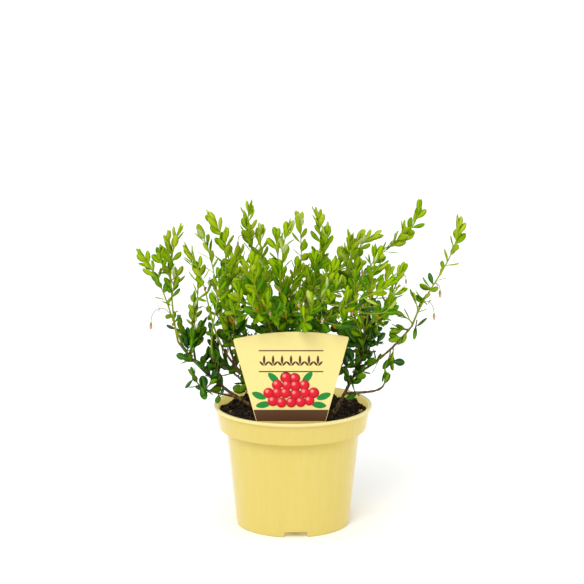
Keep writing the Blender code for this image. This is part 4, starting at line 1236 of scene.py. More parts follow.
# %% The shoots that stand out
# fork: its place on its limb's curve, or on the last shoot that isn't a twin, where it is a twin itself.
# x and y: the pixel where it ends in the photograph. depth: the y of that place. lean: degrees from
# upright, to the right, at its end. rise: how much more upright it sets out. bare: the share of its length
# that has no leaves.
Seen = namedtuple("Seen", "fork x y depth lean rise twin bare", defaults=(0.0, False, None))
SEEN_SHOOTS = {
    "far_left": (
        Seen(0.50, 138, 251, -0.012, -38, 0.5, bare=0.04), Seen(0.56, 167, 232, -0.010, -6, 1.6, bare=0.04),
        Seen(0.68, 179, 227, -0.006, 16, twin=True), Seen(0.60, 160, 246, -0.018, 2, twin=True),
        Seen(0.44, 177, 267, -0.002, 4, twin=True),
    ),
    "high_left": (
        Seen(0.20, 193, 292, -0.004, -4), Seen(0.12, 188, 254, 0.014, -26, 0.6),
    ),
    "inner_left": (Seen(0.46, 185, 246, -0.014, -32, bare=0.08),),
    "front_left": (Seen(0.26, 219, 268, -0.036, 0, 0.4),),
    "back_left": (
        Seen(0.30, 199, 228, 0.050, -24), Seen(0.40, 236, 248, 0.058, 8), Seen(0.36, 228, 268, 0.040, 4),
    ),
    "middle_left": (
        Seen(0.24, 208, 213, 0.000, -34, 0.9, bare=0.04), Seen(0.40, 226, 229, -0.008, 2, 0.4, bare=0.04),
        Seen(0.34, 233, 262, -0.012, 12), Seen(0.24, 222, 276, 0.012, -8), Seen(0.20, 229, 294, -0.020, 6),
        Seen(0.14, 238, 302, -0.026, 14), Seen(0.12, 224, 316, -0.016, -14),
    ),
    "centre_left": (
        Seen(0.34, 249, 202.5, 0.008, 4), Seen(0.60, 243, 217, 0.000, -20, twin=True),
        Seen(0.42, 261, 225, 0.014, 2), Seen(0.36, 244, 264, -0.012, -20), Seen(0.44, 257, 266, 0.024, -6),
        Seen(0.50, 266, 277, 0.010, 4), Seen(0.30, 248, 294, -0.024, -24),
    ),
    "centre": (
        Seen(0.26, 275, 230, -0.020, -5), Seen(0.38, 291, 221, -0.024, 20), Seen(0.30, 281, 264, -0.030, 4),
        Seen(0.36, 268, 288, -0.036, -14), Seen(0.42, 297, 258, -0.022, 4), Seen(0.30, 284, 298, -0.040, -6),
        Seen(0.34, 300, 292, -0.038, 16),
    ),
    "back_middle": (
        Seen(0.36, 298, 212.5, 0.040, -8), Seen(0.44, 304, 264, 0.052, 10), Seen(0.40, 275, 262, 0.054, -16),
        Seen(0.50, 290, 278, 0.032, 0), Seen(0.34, 312, 284, 0.050, 20),
    ),
    "centre_right": (
        Seen(0.28, 316, 208.5, -0.004, -12), Seen(0.40, 328.5, 226, -0.008, 10),
        Seen(0.34, 314, 252, -0.014, -4), Seen(0.44, 309, 268, -0.020, 2), Seen(0.50, 322, 278, 0.010, 10),
        Seen(0.30, 318, 300, -0.024, 14),
    ),
    "far_back_left": (Seen(0.32, 239, 246, 0.082, -8),),
    "far_back_right": (Seen(0.32, 343, 247, 0.084, 12),),
    "front_middle_right": (
        Seen(0.30, 398, 278, -0.058, 55), Seen(0.36, 334, 262, -0.050, 10),
    ),
    "middle_right": (
        Seen(0.24, 350, 233, 0.014, 4, bare=0.3), Seen(0.36, 364, 231, 0.008, 34, bare=0.4),
        Seen(0.44, 381, 235, 0.018, 72, bare=0.5), Seen(0.40, 344, 278, 0.006, -10),
        Seen(0.34, 354, 284, 0.020, 4),
    ),
    "front_right": (
        Seen(0.20, 376, 246, -0.040, 6, bare=0.4), Seen(0.34, 395, 300, -0.044, 30),
        Seen(0.24, 359, 259, -0.036, 16), Seen(0.14, 352, 300, -0.034, -10),
    ),
    "right": (
        Seen(0.36, 403, 264, -0.016, 18, bare=0.4), Seen(0.46, 405, 289, -0.020, 60),
        Seen(0.38, 386, 264, -0.006, 55),
    ),
    "low_right": (Seen(0.80, 385, 371, -0.018, 0),),
    "high_right": (
        Seen(0.34, 409, 236, 0.004, 62, 1.9), Seen(0.95, 418.5, 199, 0.004, 0, twin=True),
        Seen(0.86, 405, 222, 0.000, 14, twin=True), Seen(0.70, 386, 250, 0.008, 60, twin=True),
    ),
    "far_right": (
        Seen(0.42, 460, 218, -0.008, 6, 1.2, bare=0.04), Seen(0.12, 413, 292, -0.008, -16, 0.6, True),
        Seen(0.42, 398, 311, -0.008, -50, 1.0), Seen(0.38, 394, 322, -0.006, -40, 0.6),
    ),
    "back_right": (
        Seen(0.34, 389, 266, 0.052, 10), Seen(0.30, 370, 273, 0.046, 8), Seen(0.38, 392, 300, 0.060, 24),
    ),
}
SEEN_TUFTS = {
    "far_left": (
        Seen(0.49, 190, 334, -0.014, -20), Seen(0.42, 181, 357, -0.012, -70),
        Seen(0.45, 184, 350, -0.010, -50), Seen(0.36, 207, 351, -0.006, 10), Seen(0.46, 199, 338, -0.016, 40),
        Seen(0.30, 200, 366, -0.012, -60), Seen(0.22, 217, 362, -0.008, 10),
    ),
    "low_left": (
        Seen(0.62, 212, 374, -0.020, 0), Seen(0.95, 188, 376, -0.022, -60), Seen(0.80, 203, 384, -0.024, -20),
        Seen(0.40, 222, 390, -0.018, 20), Seen(0.55, 216, 384, -0.014, 40),
    ),
    "front_left": (Seen(0.10, 213, 350, -0.018, -10),),
    "inner_left": (
        Seen(0.22, 240, 389, -0.002, -60), Seen(0.30, 228, 366, -0.004, -50),
    ),
    "low_right": (Seen(0.30, 354, 386, -0.016, -10),),
    "far_right": (
        Seen(0.24, 385, 377, -0.014, 176, bare=0.75), Seen(0.26, 399, 361, -0.012, 85),
        Seen(0.12, 374, 355, -0.012, -20), Seen(0.16, 371, 360, -0.010, -60),
        Seen(0.56, 421, 296, -0.008, -30), Seen(0.64, 427, 282, -0.006, -30),
        Seen(0.46, 420, 322, -0.010, 40), Seen(0.40, 394, 334, -0.010, -60),
    ),
    "right": (
        Seen(0.14, 362, 371, -0.016, 40), Seen(0.20, 371, 357, -0.016, 30), Seen(0.24, 351, 355, -0.018, -20),
        Seen(0.32, 373, 343, -0.018, 30), Seen(0.30, 360, 344, -0.014, 0), Seen(0.18, 344, 372, -0.014, -40),
        Seen(0.40, 381, 338, -0.016, 40), Seen(0.48, 366, 318, -0.018, -30), Seen(0.52, 385, 312, -0.022, 20),
        Seen(0.44, 376, 328, -0.026, 0), Seen(0.40, 361, 332, -0.020, -40), Seen(0.58, 373, 302, -0.020, -30),
    ),
    "middle_left": (
        Seen(0.22, 244, 322, -0.010, 40), Seen(0.30, 224, 326, -0.010, -40), Seen(0.34, 241, 308, 0.004, 40),
        Seen(0.26, 232, 318, -0.012, 0), Seen(0.16, 247, 334, 0.004, 40), Seen(0.40, 221, 300, 0.010, -30),
    ),
    "middle_right": (
        Seen(0.16, 333, 322, 0.008, -50), Seen(0.12, 351, 330, 0.010, 30), Seen(0.26, 337, 306, 0.010, -40),
        Seen(0.22, 357, 318, 0.012, 40),
    ),
    "centre_left": (
        Seen(0.38, 259, 318, 0.000, -50), Seen(0.30, 253, 327, -0.002, -60),
        Seen(0.26, 264, 331, -0.004, -40),
    ),
    "centre_right": (
        Seen(0.30, 325, 329, 0.000, 40), Seen(0.22, 316, 334, -0.004, 50),
    ),
    "front_middle_right": (
        Seen(0.50, 326, 322, -0.030, 60), Seen(0.60, 332, 311, -0.036, 50), Seen(0.40, 312, 326, -0.026, 40),
        Seen(0.36, 296, 322, -0.026, -30),
    ),
}
HALF_SEEN = ("far_back_left", "far_back_right", "front_middle_right")
OPEN_CLUMPS = tuple(name for name in SEEN_SHOOTS if name not in HALF_SEEN)
# pull: how far a shoot sets out towards its tip. beyond: how far its last leaf reaches past its own end.
# bare: the share of its length that has no leaves, where its row doesn't say.
Habit = namedtuple("Habit", "pull beyond bare")
SHOOT_HABIT = Habit(0.4, 0.0066, 0.20)
TUFT_HABIT = Habit(2.0, 0.0045, 0.10)
Shoot = namedtuple("Shoot", "curve start tone clump bare")


def seen_shoot(parent, seen, habit):
    """A curve that leaves along its parent and towards its tip, and ends at its own lean."""
    lean = math.radians(seen.lean)
    end_way = np.array([math.sin(lean), 0.0, math.cos(lean)])
    tip = seen_at((seen.x, seen.y), seen.depth) - habit.beyond * end_way
    start = bezier(parent, seen.fork)[0]
    start_way = bezier_direction(parent, seen.fork) + habit.pull * unit(tip - start) + (0, 0, seen.rise)
    return growth_curve(start, start_way, tip, end_way)


def seen_curves(name, table, habit, tone):
    """The shoots of a clump's rows in a table. A twin forks from the last row that isn't one."""
    grown = []
    main = curves[name]
    for seen in table.get(name, ()):
        curve = seen_shoot(main if seen.twin else curves[name], seen, habit)
        main = main if seen.twin else curve
        grown.append(Shoot(curve, 0.0, tone, name, habit.bare if seen.bare is None else seen.bare))
    return grown


def wood_reach(name):
    """How far along its curve a limb is wood: its bare part, or on to the last shoot that forks from it."""
    forks = [seen.fork for seen in SEEN_SHOOTS.get(name, ()) if not seen.twin]
    return max([CLUMPS[name].bare] + forks)


print("shoots that stand out:", sum(len(rows) for rows in SEEN_SHOOTS.values()))

# %% [markdown]
# ## Bark on stems and boughs
#
# The low wood is two or three millimetres thick, grey brown and slightly fluted, and turns olive and then
# green where the year's growth begins. The relief is put into the mesh: each ring's radius swells and
# shrinks with a random ripple, with a small swelling where a limb forks.

# %% The bark's finish
OLIVE_HEIGHTS = (0.126, 0.148)
GREEN_HEIGHTS = (0.146, 0.172)

bark = Finish("bark", (0.16, 0.09, 0.045), 0.75, Specular_IOR_Level=0.35)
upward = bark.pattern_height()
bark_height = bark.coordinate("Z")
fissures = bark.ramp(bark.noise(700.0, 4.0, (1.0, 1.0, 0.25)), 0.40, 0.62)
bark_brown = bark.mix(fissures, (0.050, 0.025, 0.008), (0.215, 0.130, 0.045))
bark_olive = bark.mix(fissures, (0.13, 0.11, 0.016), (0.25, 0.23, 0.040))
bark_green = bark.mix(fissures, (0.20, 0.22, 0.014), (0.32, 0.35, 0.030))
olive_share = bark.ramp(bark_height, *OLIVE_HEIGHTS) * bark.ramp(upward, 0.0, 0.5)
bark_colour = bark.mix(olive_share, bark_brown, bark_olive)
bark.colour(bark.mix(bark.ramp(bark_height, *GREEN_HEIGHTS), bark_colour, bark_green))
bark.rough(0.62 + fissures * 0.2)
bark.bump(fissures, 0.00025)
print("bark has", len(bark.tree.nodes), "nodes")

# %% Stems and boughs
WOOD_ROWS = 46
WOOD_SIDES = 12
WOOD_RELIEF = 0.10
SLIMNESS = 0.84
WOOD_TAPER = 0.6
FLUTE_LENGTH = 0.0035
CRACK_LENGTH = 0.0014
CRACK_SHARE = 0.6
ROOT_SWELL_FADE = 26
FORK_SWELL = 0.35
FORK_SWELL_FADE = 16
bark_rng = np.random.default_rng(SEED + 1)
names = list(CLUMPS)
is_stem = np.array([CLUMPS[name].fork == 0.0 for name in names])
rows = np.linspace(0, 1, WOOD_ROWS)
wood_lines = np.array([bezier(curves[name], rows * wood_reach(name)) for name in names])
wood_base = np.where(is_stem, STEM_RADIUS, BOUGH_RADIUS)[:, None]
wood_radii = SLIMNESS * (wood_base + (WOOD_TIP_RADIUS - wood_base) * rows**WOOD_TAPER)
root_swell = is_stem[:, None] * (ROOT_FLARE - 1) * np.exp(-rows * ROOT_SWELL_FADE)
fork_swell = ~is_stem[:, None] * FORK_SWELL * np.exp(-rows * FORK_SWELL_FADE)
wood_radii = wood_radii * (1 + root_swell + fork_swell)
smooth_rings = tube_rings(wood_lines, wood_radii, WOOD_SIDES)
flutes = ripples(smooth_rings, FLUTE_LENGTH, bark_rng)
cracks = ripples(smooth_rings, CRACK_LENGTH, bark_rng)
relief = 1 + WOOD_RELIEF * (flutes + CRACK_SHARE * cracks)
wood_rings = tube_rings(wood_lines, wood_radii[..., None] * relief, WOOD_SIDES)
wood = capped_rings(wood_rings, wood_lines[:, 0], wood_lines[:, -1])
wood_uv = pattern_up(np.tile(rows, (len(names), 1)), WOOD_SIDES)
bark_wood = new_piece("bark_wood", *wood, [bark.material], "bark", uv=wood_uv)
wood_nodes = [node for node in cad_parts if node.startswith(("stem_", "bough_"))]
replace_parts(bark_wood, *wood_nodes)

# %% [markdown]
# ## Finer shoots
#
# The plant is fuller than its leading shoots: a main shoot has thinner ones that stand beside it, a little
# lower, and tufts of old dark leaves sit low down on the wood. They follow the same rule on a smaller
# scale, and stay below and within the shoots that they grow from.

# %% Main shoots
LOW_CLUMPS = tuple(name for name in CLUMPS if name.startswith("low_"))
LOW_TONE = 0.2
OWN_BARE = 0.04


def main_shoots():
    """The shoots that stand out, and then the solids' own ones."""
    grown = []
    for name, several in shoots.items():
        tone = LOW_TONE if name in LOW_CLUMPS else 1.0
        seen = seen_curves(name, SEEN_SHOOTS, SHOOT_HABIT, tone)
        grown += seen
        if name not in OPEN_CLUMPS:
            own = several[1 if seen else 0:]
            grown += [Shoot(curve, start, tone, name, OWN_BARE) for curve, start in own]
    return grown


leading = main_shoots()
print("main shoots", len(leading))

# %% Companions of the shoots
COMPANION_SPREAD = (0.0055, 0.0100)
COMPANION_FORK = (0.08, 0.50)
COMPANION_DROP = (0.008, 0.034)
COMPANION_AIR = 0.0042
COMPANION_TRIES = 5
COMPANION_BARE = 0.06
COMPANION_TONE = 0.75
COMPANION_MOST_DROP = 0.6
COMPANION_PULL = 0.5
COMPANION_LEAN = 0.25
CROWN_MARGIN = 0.002
TOP_MARGIN = 0.004


def in_crown(points):
    """True if no point is outside the solids' box, in the card or more than 4 mm below the pot's rim."""
    low, high = np.array(cad_box[0]), np.array(cad_box[1])
    inside_box = np.all((points > low - CROWN_MARGIN) & (points < high - (0, 0, TOP_MARGIN)))
    off_card = not np.any(touches_card(points, CROWN_MARGIN))
    return inside_box and off_card and points[:, 2].min() > POT_HEIGHT - TOP_MARGIN


def companion(parent, fork, turn, rng):
    """It forks from its parent, stands upright beside it and ends a little lower."""
    outward_way = heading(turn)
    start = bezier(parent, fork)[0]
    drop = min(rng.uniform(*COMPANION_DROP), COMPANION_MOST_DROP * (parent[3][2] - start[2]))
    tip = parent[3] + rng.uniform(*COMPANION_SPREAD) * outward_way - (0, 0, drop)
    start_way = bezier_direction(parent, fork) + COMPANION_PULL * outward_way
    return growth_curve(start, start_way, tip, COMPANION_LEAN * outward_way + (0, 0, 1))


def grow_companions(leading, rng):
    """Thinner shoots, where there is still room beside their parent."""
    grown = []
    lines = [polyline(shoot.curve, shoot.start) for shoot in leading]
    for parent, start_share, _, name, _ in leading:
        phase = rng.uniform(0, 2 * math.pi)
        for number in range(0 if name in OPEN_CLUMPS + LOW_CLUMPS else COMPANION_TRIES):
            fork = start_share + (1 - start_share) * rng.uniform(*COMPANION_FORK)
            curve = companion(parent, fork, phase + number * GOLDEN_ANGLE, rng)
            line = polyline(curve, 0.0)
            if distances(line[2:], lines).min() > COMPANION_AIR and in_crown(line):
                grown.append(Shoot(curve, 0.0, COMPANION_TONE, name, COMPANION_BARE))
                lines.append(line)
                break
    return grown


fine_rng = np.random.default_rng(SEED + 2)
companions = grow_companions(leading, fine_rng)
print("companions", len(companions))

# %% Tufts on the old wood
TUFTS_ON_LIMB = 6
TUFT_LENGTH = (0.006, 0.014)
TUFT_FORK = (0.30, 1.6)
TUFT_LEAN = (0.5, 1.6)
TUFT_START_AHEAD = 0.6
TUFT_TIP_AHEAD = 0.3
TUFT_END_LEAN = 0.4
SIDE_TUFT_TONE = 0.5


def twig(parent, share, turn, lean, length):
    """A short twig from a share of its parent's curve: it sets out sideways and turns upwards."""
    start = bezier(parent, share)[0]
    ahead = bezier_direction(parent, share)
    outward_way = heading(turn)
    start_way = TUFT_START_AHEAD * ahead + outward_way
    tip = start + length * unit(lean * outward_way + (0, 0, 1) + TUFT_TIP_AHEAD * ahead)
    return growth_curve(start, start_way, tip, TUFT_END_LEAN * lean * outward_way + (0, 0, 1))


def grow_tufts(curves, rng):
    """Short twigs with old leaves on the bare wood of each limb: those that stand out, or else a few."""
    grown = []
    for name in SEEN_TUFTS:
        tone = SIDE_TUFT_TONE if name == "far_right" else 0.0
        grown += seen_curves(name, SEEN_TUFTS, TUFT_HABIT, tone)
    for name, clump in CLUMPS.items():
        phase = rng.uniform(0, 2 * math.pi)
        for number in range(0 if name in SEEN_TUFTS else TUFTS_ON_LIMB):
            share = clump.bare * rng.uniform(*TUFT_FORK)
            turn = phase + number * GOLDEN_ANGLE
            curve = twig(curves[name], share, turn, rng.uniform(*TUFT_LEAN), rng.uniform(*TUFT_LENGTH))
            if in_crown(polyline(curve, 0.0)):
                grown.append(Shoot(curve, 0.0, 0.0, name, TUFT_HABIT.bare))
    return grown


tufts = grow_tufts(curves, fine_rng)
print("tufts", len(tufts))

# %% All shoots as arrays
every = leading + companions + tufts
ends = np.array([shoot.curve for shoot in every])
starts = np.array([shoot.start for shoot in every])
tones = np.array([shoot.tone for shoot in every])
bare_shares = np.array([shoot.bare for shoot in every])
kinds = np.repeat([0, 1, 2], [len(leading), len(companions), len(tufts)])


def ways_along(ends, shares):
    """Unit tangents: B'(s) = 3 (1-s)^2 (b-a) + 6 s (1-s) (c-b) + 3 s^2 (d-c), at length one."""
    s = shares[..., None]
    steps = np.diff(ends, axis=1)[:, None]
    return unit((1 - s) ** 2 * steps[:, :, 0] + 2 * s * (1 - s) * steps[:, :, 1] + s**2 * steps[:, :, 2])


SHOOT_ROWS = 18
shoot_shares = starts[:, None] + (1 - starts[:, None]) * np.linspace(0, 1, SHOOT_ROWS)
shoot_lines = bezier(ends, shoot_shares)
shoot_lengths = np.linalg.norm(np.diff(shoot_lines, axis=1), axis=2).sum(axis=1)
print("length of all shoots in metres:", round(float(shoot_lengths.sum()), 2))

# %% [markdown]
# Young cranberry stems are round, smooth and yellow green, and little more than a millimetre thick. Lower
# down they turn olive brown. Twigs are joined into one mesh, and their colour follows their own way up.

# %% Green twigs
TWIG_BASE_RADII = np.array([0.00080, 0.00058, 0.00050])
TWIG_TIP_RADIUS = 0.00036
TWIG_SIDES = 7
BASE_YOUTH = 0.35
TUFT_AGE = 0.15

stem_green = Finish("stem_green", (0.30, 0.36, 0.05), 0.5, Specular_IOR_Level=0.15)
youth = stem_green.pattern_height()
stem_colour = stem_green.mix(stem_green.ramp(youth, 0.0, 0.45), (0.11, 0.095, 0.014), (0.24, 0.30, 0.014))
stem_colour = stem_green.mix(stem_green.ramp(youth, 0.45, 1.0), stem_colour, (0.33, 0.42, 0.020))
stem_green.colour(stem_colour)
stem_green.bump(stem_green.noise(900.0, 3.0, (1.0, 1.0, 0.3)), 0.0001)

climb = np.linspace(0, 1, SHOOT_ROWS)
twig_radii = TWIG_BASE_RADII[kinds][:, None] * (1 - climb) + TWIG_TIP_RADIUS * climb
twig_mesh = tubes(shoot_lines, twig_radii, TWIG_SIDES)
youths = tones[:, None] * (BASE_YOUTH + (1 - BASE_YOUTH) * climb) - TUFT_AGE * (kinds[:, None] == 2)
youths = np.clip(youths, 0, 1)
twig_uv = pattern_up(youths, TWIG_SIDES)
green_twigs = new_piece("green_twigs", *twig_mesh, [stem_green.material], "foliage", uv=twig_uv)
foliage_nodes = [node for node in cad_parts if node.startswith("foliage_")]
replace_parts(green_twigs, *foliage_nodes)

# %% [markdown]
# ## Leaves
#
# A cranberry leaf is about a centimetre long, elliptic with a round tip, leathery, with one pale midrib and
# a paler underside. A picture on a flat card would be lighter, but has no edge or thickness. So each leaf is
# a closed stack of six-cornered sections: two edges, and a narrow midrib on its face and on its back. Upper
# face, midrib and back have their own plain colours. Four forms, from flat to curled, are dealt out.

# %% The leaf's form
LEAF_LENGTH = 0.0113
LEAF_ROWS = np.array([0.04, 0.12, 0.26, 0.44, 0.62, 0.80, 0.92, 0.98])
LEAF_SWELL = 1.30
BASE_FULLNESS = 0.85
TIP_FULLNESS = 0.50
PETIOLE_HALF_WIDTH = 0.022
LEAF_THICKNESS = 0.030
MIDRIB_HALF_WIDTH = 0.022
MIDRIB_START = 1.15
THICK_AT_BASE = 1.1
THICKNESS_FALL = 0.5
UPPER_SHARE = 0.2
LeafForm = namedtuple("LeafForm", "width cup bend twist")
LEAF_FORMS = (
    LeafForm(0.52, -0.22, 0.04, 0.0),
    LeafForm(0.48, 0.16, -0.08, 0.15),
    LeafForm(0.56, -0.34, 0.12, -0.10),
    LeafForm(0.50, -0.14, 0.14, 0.10),
)


def leaf_form(form):
    """One leaf, a metre long along +Y, as rings of six points and its two poles.

    Half the width at share t is w(t) = (W / 2) sin(pi t^p)^q, where q falls from the narrow base to the
    round tip. Its edges rise by cup w(t), its length curls down by bend t^2, and its sections turn by
    twist t about the midrib.
    """
    t = LEAF_ROWS
    fullness = BASE_FULLNESS + (TIP_FULLNESS - BASE_FULLNESS) * t
    half = form.width / 2 * np.sin(math.pi * t**LEAF_SWELL) ** fullness
    half[0] = PETIOLE_HALF_WIDTH
    rib = np.minimum(MIDRIB_HALF_WIDTH * (MIDRIB_START - t), 0.5 * half)
    thick = LEAF_THICKNESS * (THICK_AT_BASE - THICKNESS_FALL * t)
    rise = form.cup * half
    x = np.stack([half, rib, -rib, -half, -rib, rib], axis=1)
    z = np.stack([rise, -thick, -thick, rise, thick * UPPER_SHARE, thick * UPPER_SHARE], axis=1)
    turn = (form.twist * t)[:, None]
    x, z = x * np.cos(turn) - z * np.sin(turn), x * np.sin(turn) + z * np.cos(turn)
    z = z - (form.bend * t**2)[:, None]
    y = np.broadcast_to(t[:, None], x.shape)
    tip_rise = -form.bend
    return np.stack([x, y, z], axis=-1), np.array([[0, 0, 0], [0, 1, tip_rise]], float)


# Side j of a section joins point j and the next. Its colour is 0 for the upper face, 1 for the midrib and 2
# for the back.
SIDE_COLOURS = (2, 2, 2, 0, 1, 0)
forms = [leaf_form(form) for form in LEAF_FORMS]
form_rings = np.array([rings for rings, _ in forms])
form_poles = np.array([poles for _, poles in forms])
print("one leaf has", 6 * (len(LEAF_ROWS) + 1), "faces")

# %% [markdown]
# Leaves sit on their shoot in a spiral of 137.5 degrees, spread wide low down and close in to an upright
# tuft at the tip. All of them are worked out together: one array holds each leaf's shoot and its share of
# the way, and its frame of three directions follows from the shoot's tangent there.

# %% How leaves are spaced
TIP_SPACING = np.array([0.0009, 0.0011, 0.0021])
SPACING_GROWTH = np.array([0.000138, 0.000160, 0.000080])
SPACING_PLAY = 0.25
TIP_GAP = 0.0004
LEAF_SEED = 23

leaf_rng = np.random.default_rng(LEAF_SEED)
# Leaf k from the tip sits at d = a k + b k^2. So on a length L the last one has
# k = (root(a^2 + 4 b L) - a) / (2 b).
tip_space = TIP_SPACING[kinds]
growth = SPACING_GROWTH[kinds]
leafy_lengths = (1 - bare_shares) * shoot_lengths
counts = 1 + ((np.sqrt(tip_space**2 + 4 * growth * leafy_lengths) - tip_space) / (2 * growth)).astype(int)
owner = np.repeat(np.arange(len(every)), counts)
number = np.arange(counts.sum()) - np.repeat(np.cumsum(counts) - counts, counts)
steps = number + leaf_rng.uniform(-SPACING_PLAY, SPACING_PLAY, len(number)) * (number > 0)
from_tip = tip_space[owner] * steps + growth[owner] * steps**2 + TIP_GAP
along = 1 - from_tip / shoot_lengths[owner]
leaf_share = 1 - (1 - starts[owner]) * (1 - along)
print("leaves before the rule on space:", len(number))

# %% Where every leaf points
SPREAD_AT_TIP = math.radians(11)
SPREAD_WIDE = math.radians(58)
SPREAD_RANGE = 0.026
SPREAD_PLAY = math.radians(9)
ROLL_PLAY = math.radians(52)
TURN_PLAY = 0.18
TIP_LEAF_SPREAD = 0.4
LIGHT_PULL = 0.45

leaf_root = bezier(ends[owner], leaf_share[:, None])[:, 0]
leaf_axis = ways_along(ends[owner], leaf_share[:, None])[:, 0]
phases = leaf_rng.uniform(0, 2 * math.pi, len(every))
leaf_turn = phases[owner] + number * GOLDEN_ANGLE + leaf_rng.normal(0, TURN_PLAY, len(number))
leaf_side = unit(np.cross(leaf_axis, (0.0, 1.0, 0.0)))
leaf_front = np.cross(leaf_axis, leaf_side)
radial = round_axis(leaf_turn, leaf_side, leaf_front)
opened = 1 - np.exp(-from_tip / SPREAD_RANGE)
spread = SPREAD_AT_TIP + (SPREAD_WIDE - SPREAD_AT_TIP) * opened
spread = spread + leaf_rng.uniform(-1, 1, len(number)) * SPREAD_PLAY
spread = np.where(number == 0, TIP_LEAF_SPREAD * spread, spread)[:, None]
leaf_way = np.cos(spread) * leaf_axis + np.sin(spread) * radial
outwards = np.column_stack([leaf_root[:, :2], np.full(len(number), 0.02)])
light_way = leaf_axis + LIGHT_PULL * unit(outwards)
leaf_face = unit(light_way - (light_way * leaf_way).sum(1, keepdims=True) * leaf_way)
roll = leaf_rng.uniform(-1, 1, (len(number), 1)) * ROLL_PLAY
leaf_face = np.cos(roll) * leaf_face + np.sin(roll) * np.cross(leaf_way, leaf_face)
print("leaves lean by", *np.degrees([spread.min(), spread.max()]).round(), "degrees at least and at most")

# %% How large every leaf is
CROWN_FOOT = 0.100
CROWN_DEPTH = 0.125
TIP_SIZE = 0.85
FULL_GAIN = 0.22
FULL_GAIN_RANGE = 0.006
AGEING_START = 0.020
AGEING_RANGE = 0.040
AGEING_LOSS = 0.30
LOW_SIZE = 0.87
OLD_SIZE = 0.88
LENGTH_PLAY = (0.84, 1.12)
OLD_WIDENING = 1.14
YOUNG_NARROWING = 0.84

heights = np.clip((leaf_root[:, 2] - CROWN_FOOT) / CROWN_DEPTH, 0, 1)
ageing = np.clip((from_tip - AGEING_START) / AGEING_RANGE, 0, 1)
leaf_size = TIP_SIZE + FULL_GAIN * (1 - np.exp(-from_tip / FULL_GAIN_RANGE)) - AGEING_LOSS * ageing
on_tuft = kinds[owner] == 2
leaf_size = np.where(on_tuft, OLD_SIZE, leaf_size * (LOW_SIZE + (1 - LOW_SIZE) * heights))
leaf_size = leaf_size * LEAF_LENGTH * leaf_rng.uniform(*LENGTH_PLAY, len(number))
young_width = YOUNG_NARROWING + (1 - YOUNG_NARROWING) * opened
leaf_width = np.where(on_tuft, OLD_WIDENING, young_width)[:, None]
leaf_frame = np.stack([leaf_width * np.cross(leaf_way, leaf_face), leaf_way, leaf_face], axis=-1)
leaf_kind = leaf_rng.integers(0, len(LEAF_FORMS), len(number))
print("shortest and longest leaf in mm:", *(1000 * np.array([leaf_size.min(), leaf_size.max()])).round(1))

# %% [markdown]
# A leaf that would touch the card, reach below the rim or leave the crown's own box is left out, as it is
# in the solids.

# %% Leaves that fit
LEAF_CARD_AIR = 0.003
BELOW_RIM = 0.003
INSIDE_RIM = 0.045
ABOVE_PEAT = 0.002
LOW_BOX_AIR = 0.003
HIGH_BOX_AIR = 0.001

leaf_tip = leaf_root + leaf_size[:, None] * leaf_way
leaf_middle = leaf_root + 0.55 * leaf_size[:, None] * leaf_way
probes = np.stack([leaf_root, leaf_middle, leaf_tip], axis=1)
low_corner, high_corner = np.array(cad_box[0]), np.array(cad_box[1])
fits = ~touches_card(probes, LEAF_CARD_AIR).any(axis=1)
fits &= (leaf_tip[:, 2] > POT_HEIGHT - BELOW_RIM) | (np.hypot(leaf_tip[:, 0], leaf_tip[:, 1]) < INSIDE_RIM)
fits &= leaf_tip[:, 2] > SOIL_LEVEL + ABOVE_PEAT
fits &= np.all((leaf_tip > low_corner - LOW_BOX_AIR) & (leaf_tip < high_corner + HIGH_BOX_AIR), axis=1)
print("leaves:", int(fits.sum()))

# %% [markdown]
# ## The leaves' colours
#
# Old leaves low down are a deep glossy green, the year's leaves a fresh one, and the newest at the tips
# nearly yellow. A leaf's tone comes from its height, its place on the shoot and its shoot's own tone, so
# colours go by spray. The tone picks one of six plain greens. Here and there a young leaf is pale, and in
# the middle of the crown a small old leaf has turned amber.

# %% Six greens, a pale one and an amber
Green = namedtuple("Green", "name face rib back rough gloss")
GREENS = (
    Green("shade", (0.012, 0.080, 0.001), (0.085, 0.185, 0.006), (0.070, 0.165, 0.006), 0.30, 0.22),
    Green("deep", (0.032, 0.160, 0.001), (0.140, 0.280, 0.008), (0.135, 0.280, 0.008), 0.34, 0.14),
    Green("mid", (0.074, 0.245, 0.001), (0.22, 0.39, 0.010), (0.23, 0.39, 0.010), 0.42, 0.06),
    Green("fresh", (0.152, 0.330, 0.001), (0.29, 0.45, 0.012), (0.32, 0.47, 0.013), 0.48, 0.02),
    Green("bright", (0.210, 0.390, 0.002), (0.35, 0.49, 0.012), (0.36, 0.50, 0.014), 0.50, 0.01),
    Green("lime", (0.295, 0.460, 0.004), (0.41, 0.54, 0.020), (0.42, 0.54, 0.026), 0.50, 0.01),
    Green("pale", (0.43, 0.545, 0.08), (0.53, 0.63, 0.16), (0.57, 0.67, 0.22), 0.55, 0.02),
    Green("amber", (0.42, 0.16, 0.006), (0.50, 0.26, 0.02), (0.46, 0.24, 0.03), 0.50, 0.02),
)
TONE_STEPS = (0.15, 0.32, 0.50, 0.66, 0.80)
LEAST_TONE = 0.04
HEIGHT_TONE = 0.34
NEW_TONE = 0.34
SHOOT_TONE = 0.22
NEW_RANGE = 0.022
LOW_NEWNESS = 0.3
SHOOT_TONE_PLAY = 0.08
LEAF_TONE_PLAY = 0.17
TIP_CALM = 0.35
TIP_CALM_RANGE = 0.012
PALE_SHARE = 0.08
PALE_FROM_GREEN = 3
PALE_ABOVE = 0.5
AMBER_SHARE = 0.07
AMBER_SIZE = 0.55
AMBER_HEIGHT = 0.52
AMBER_HEIGHT_RANGE = 0.20
AMBER_FROM_TIP = 0.012

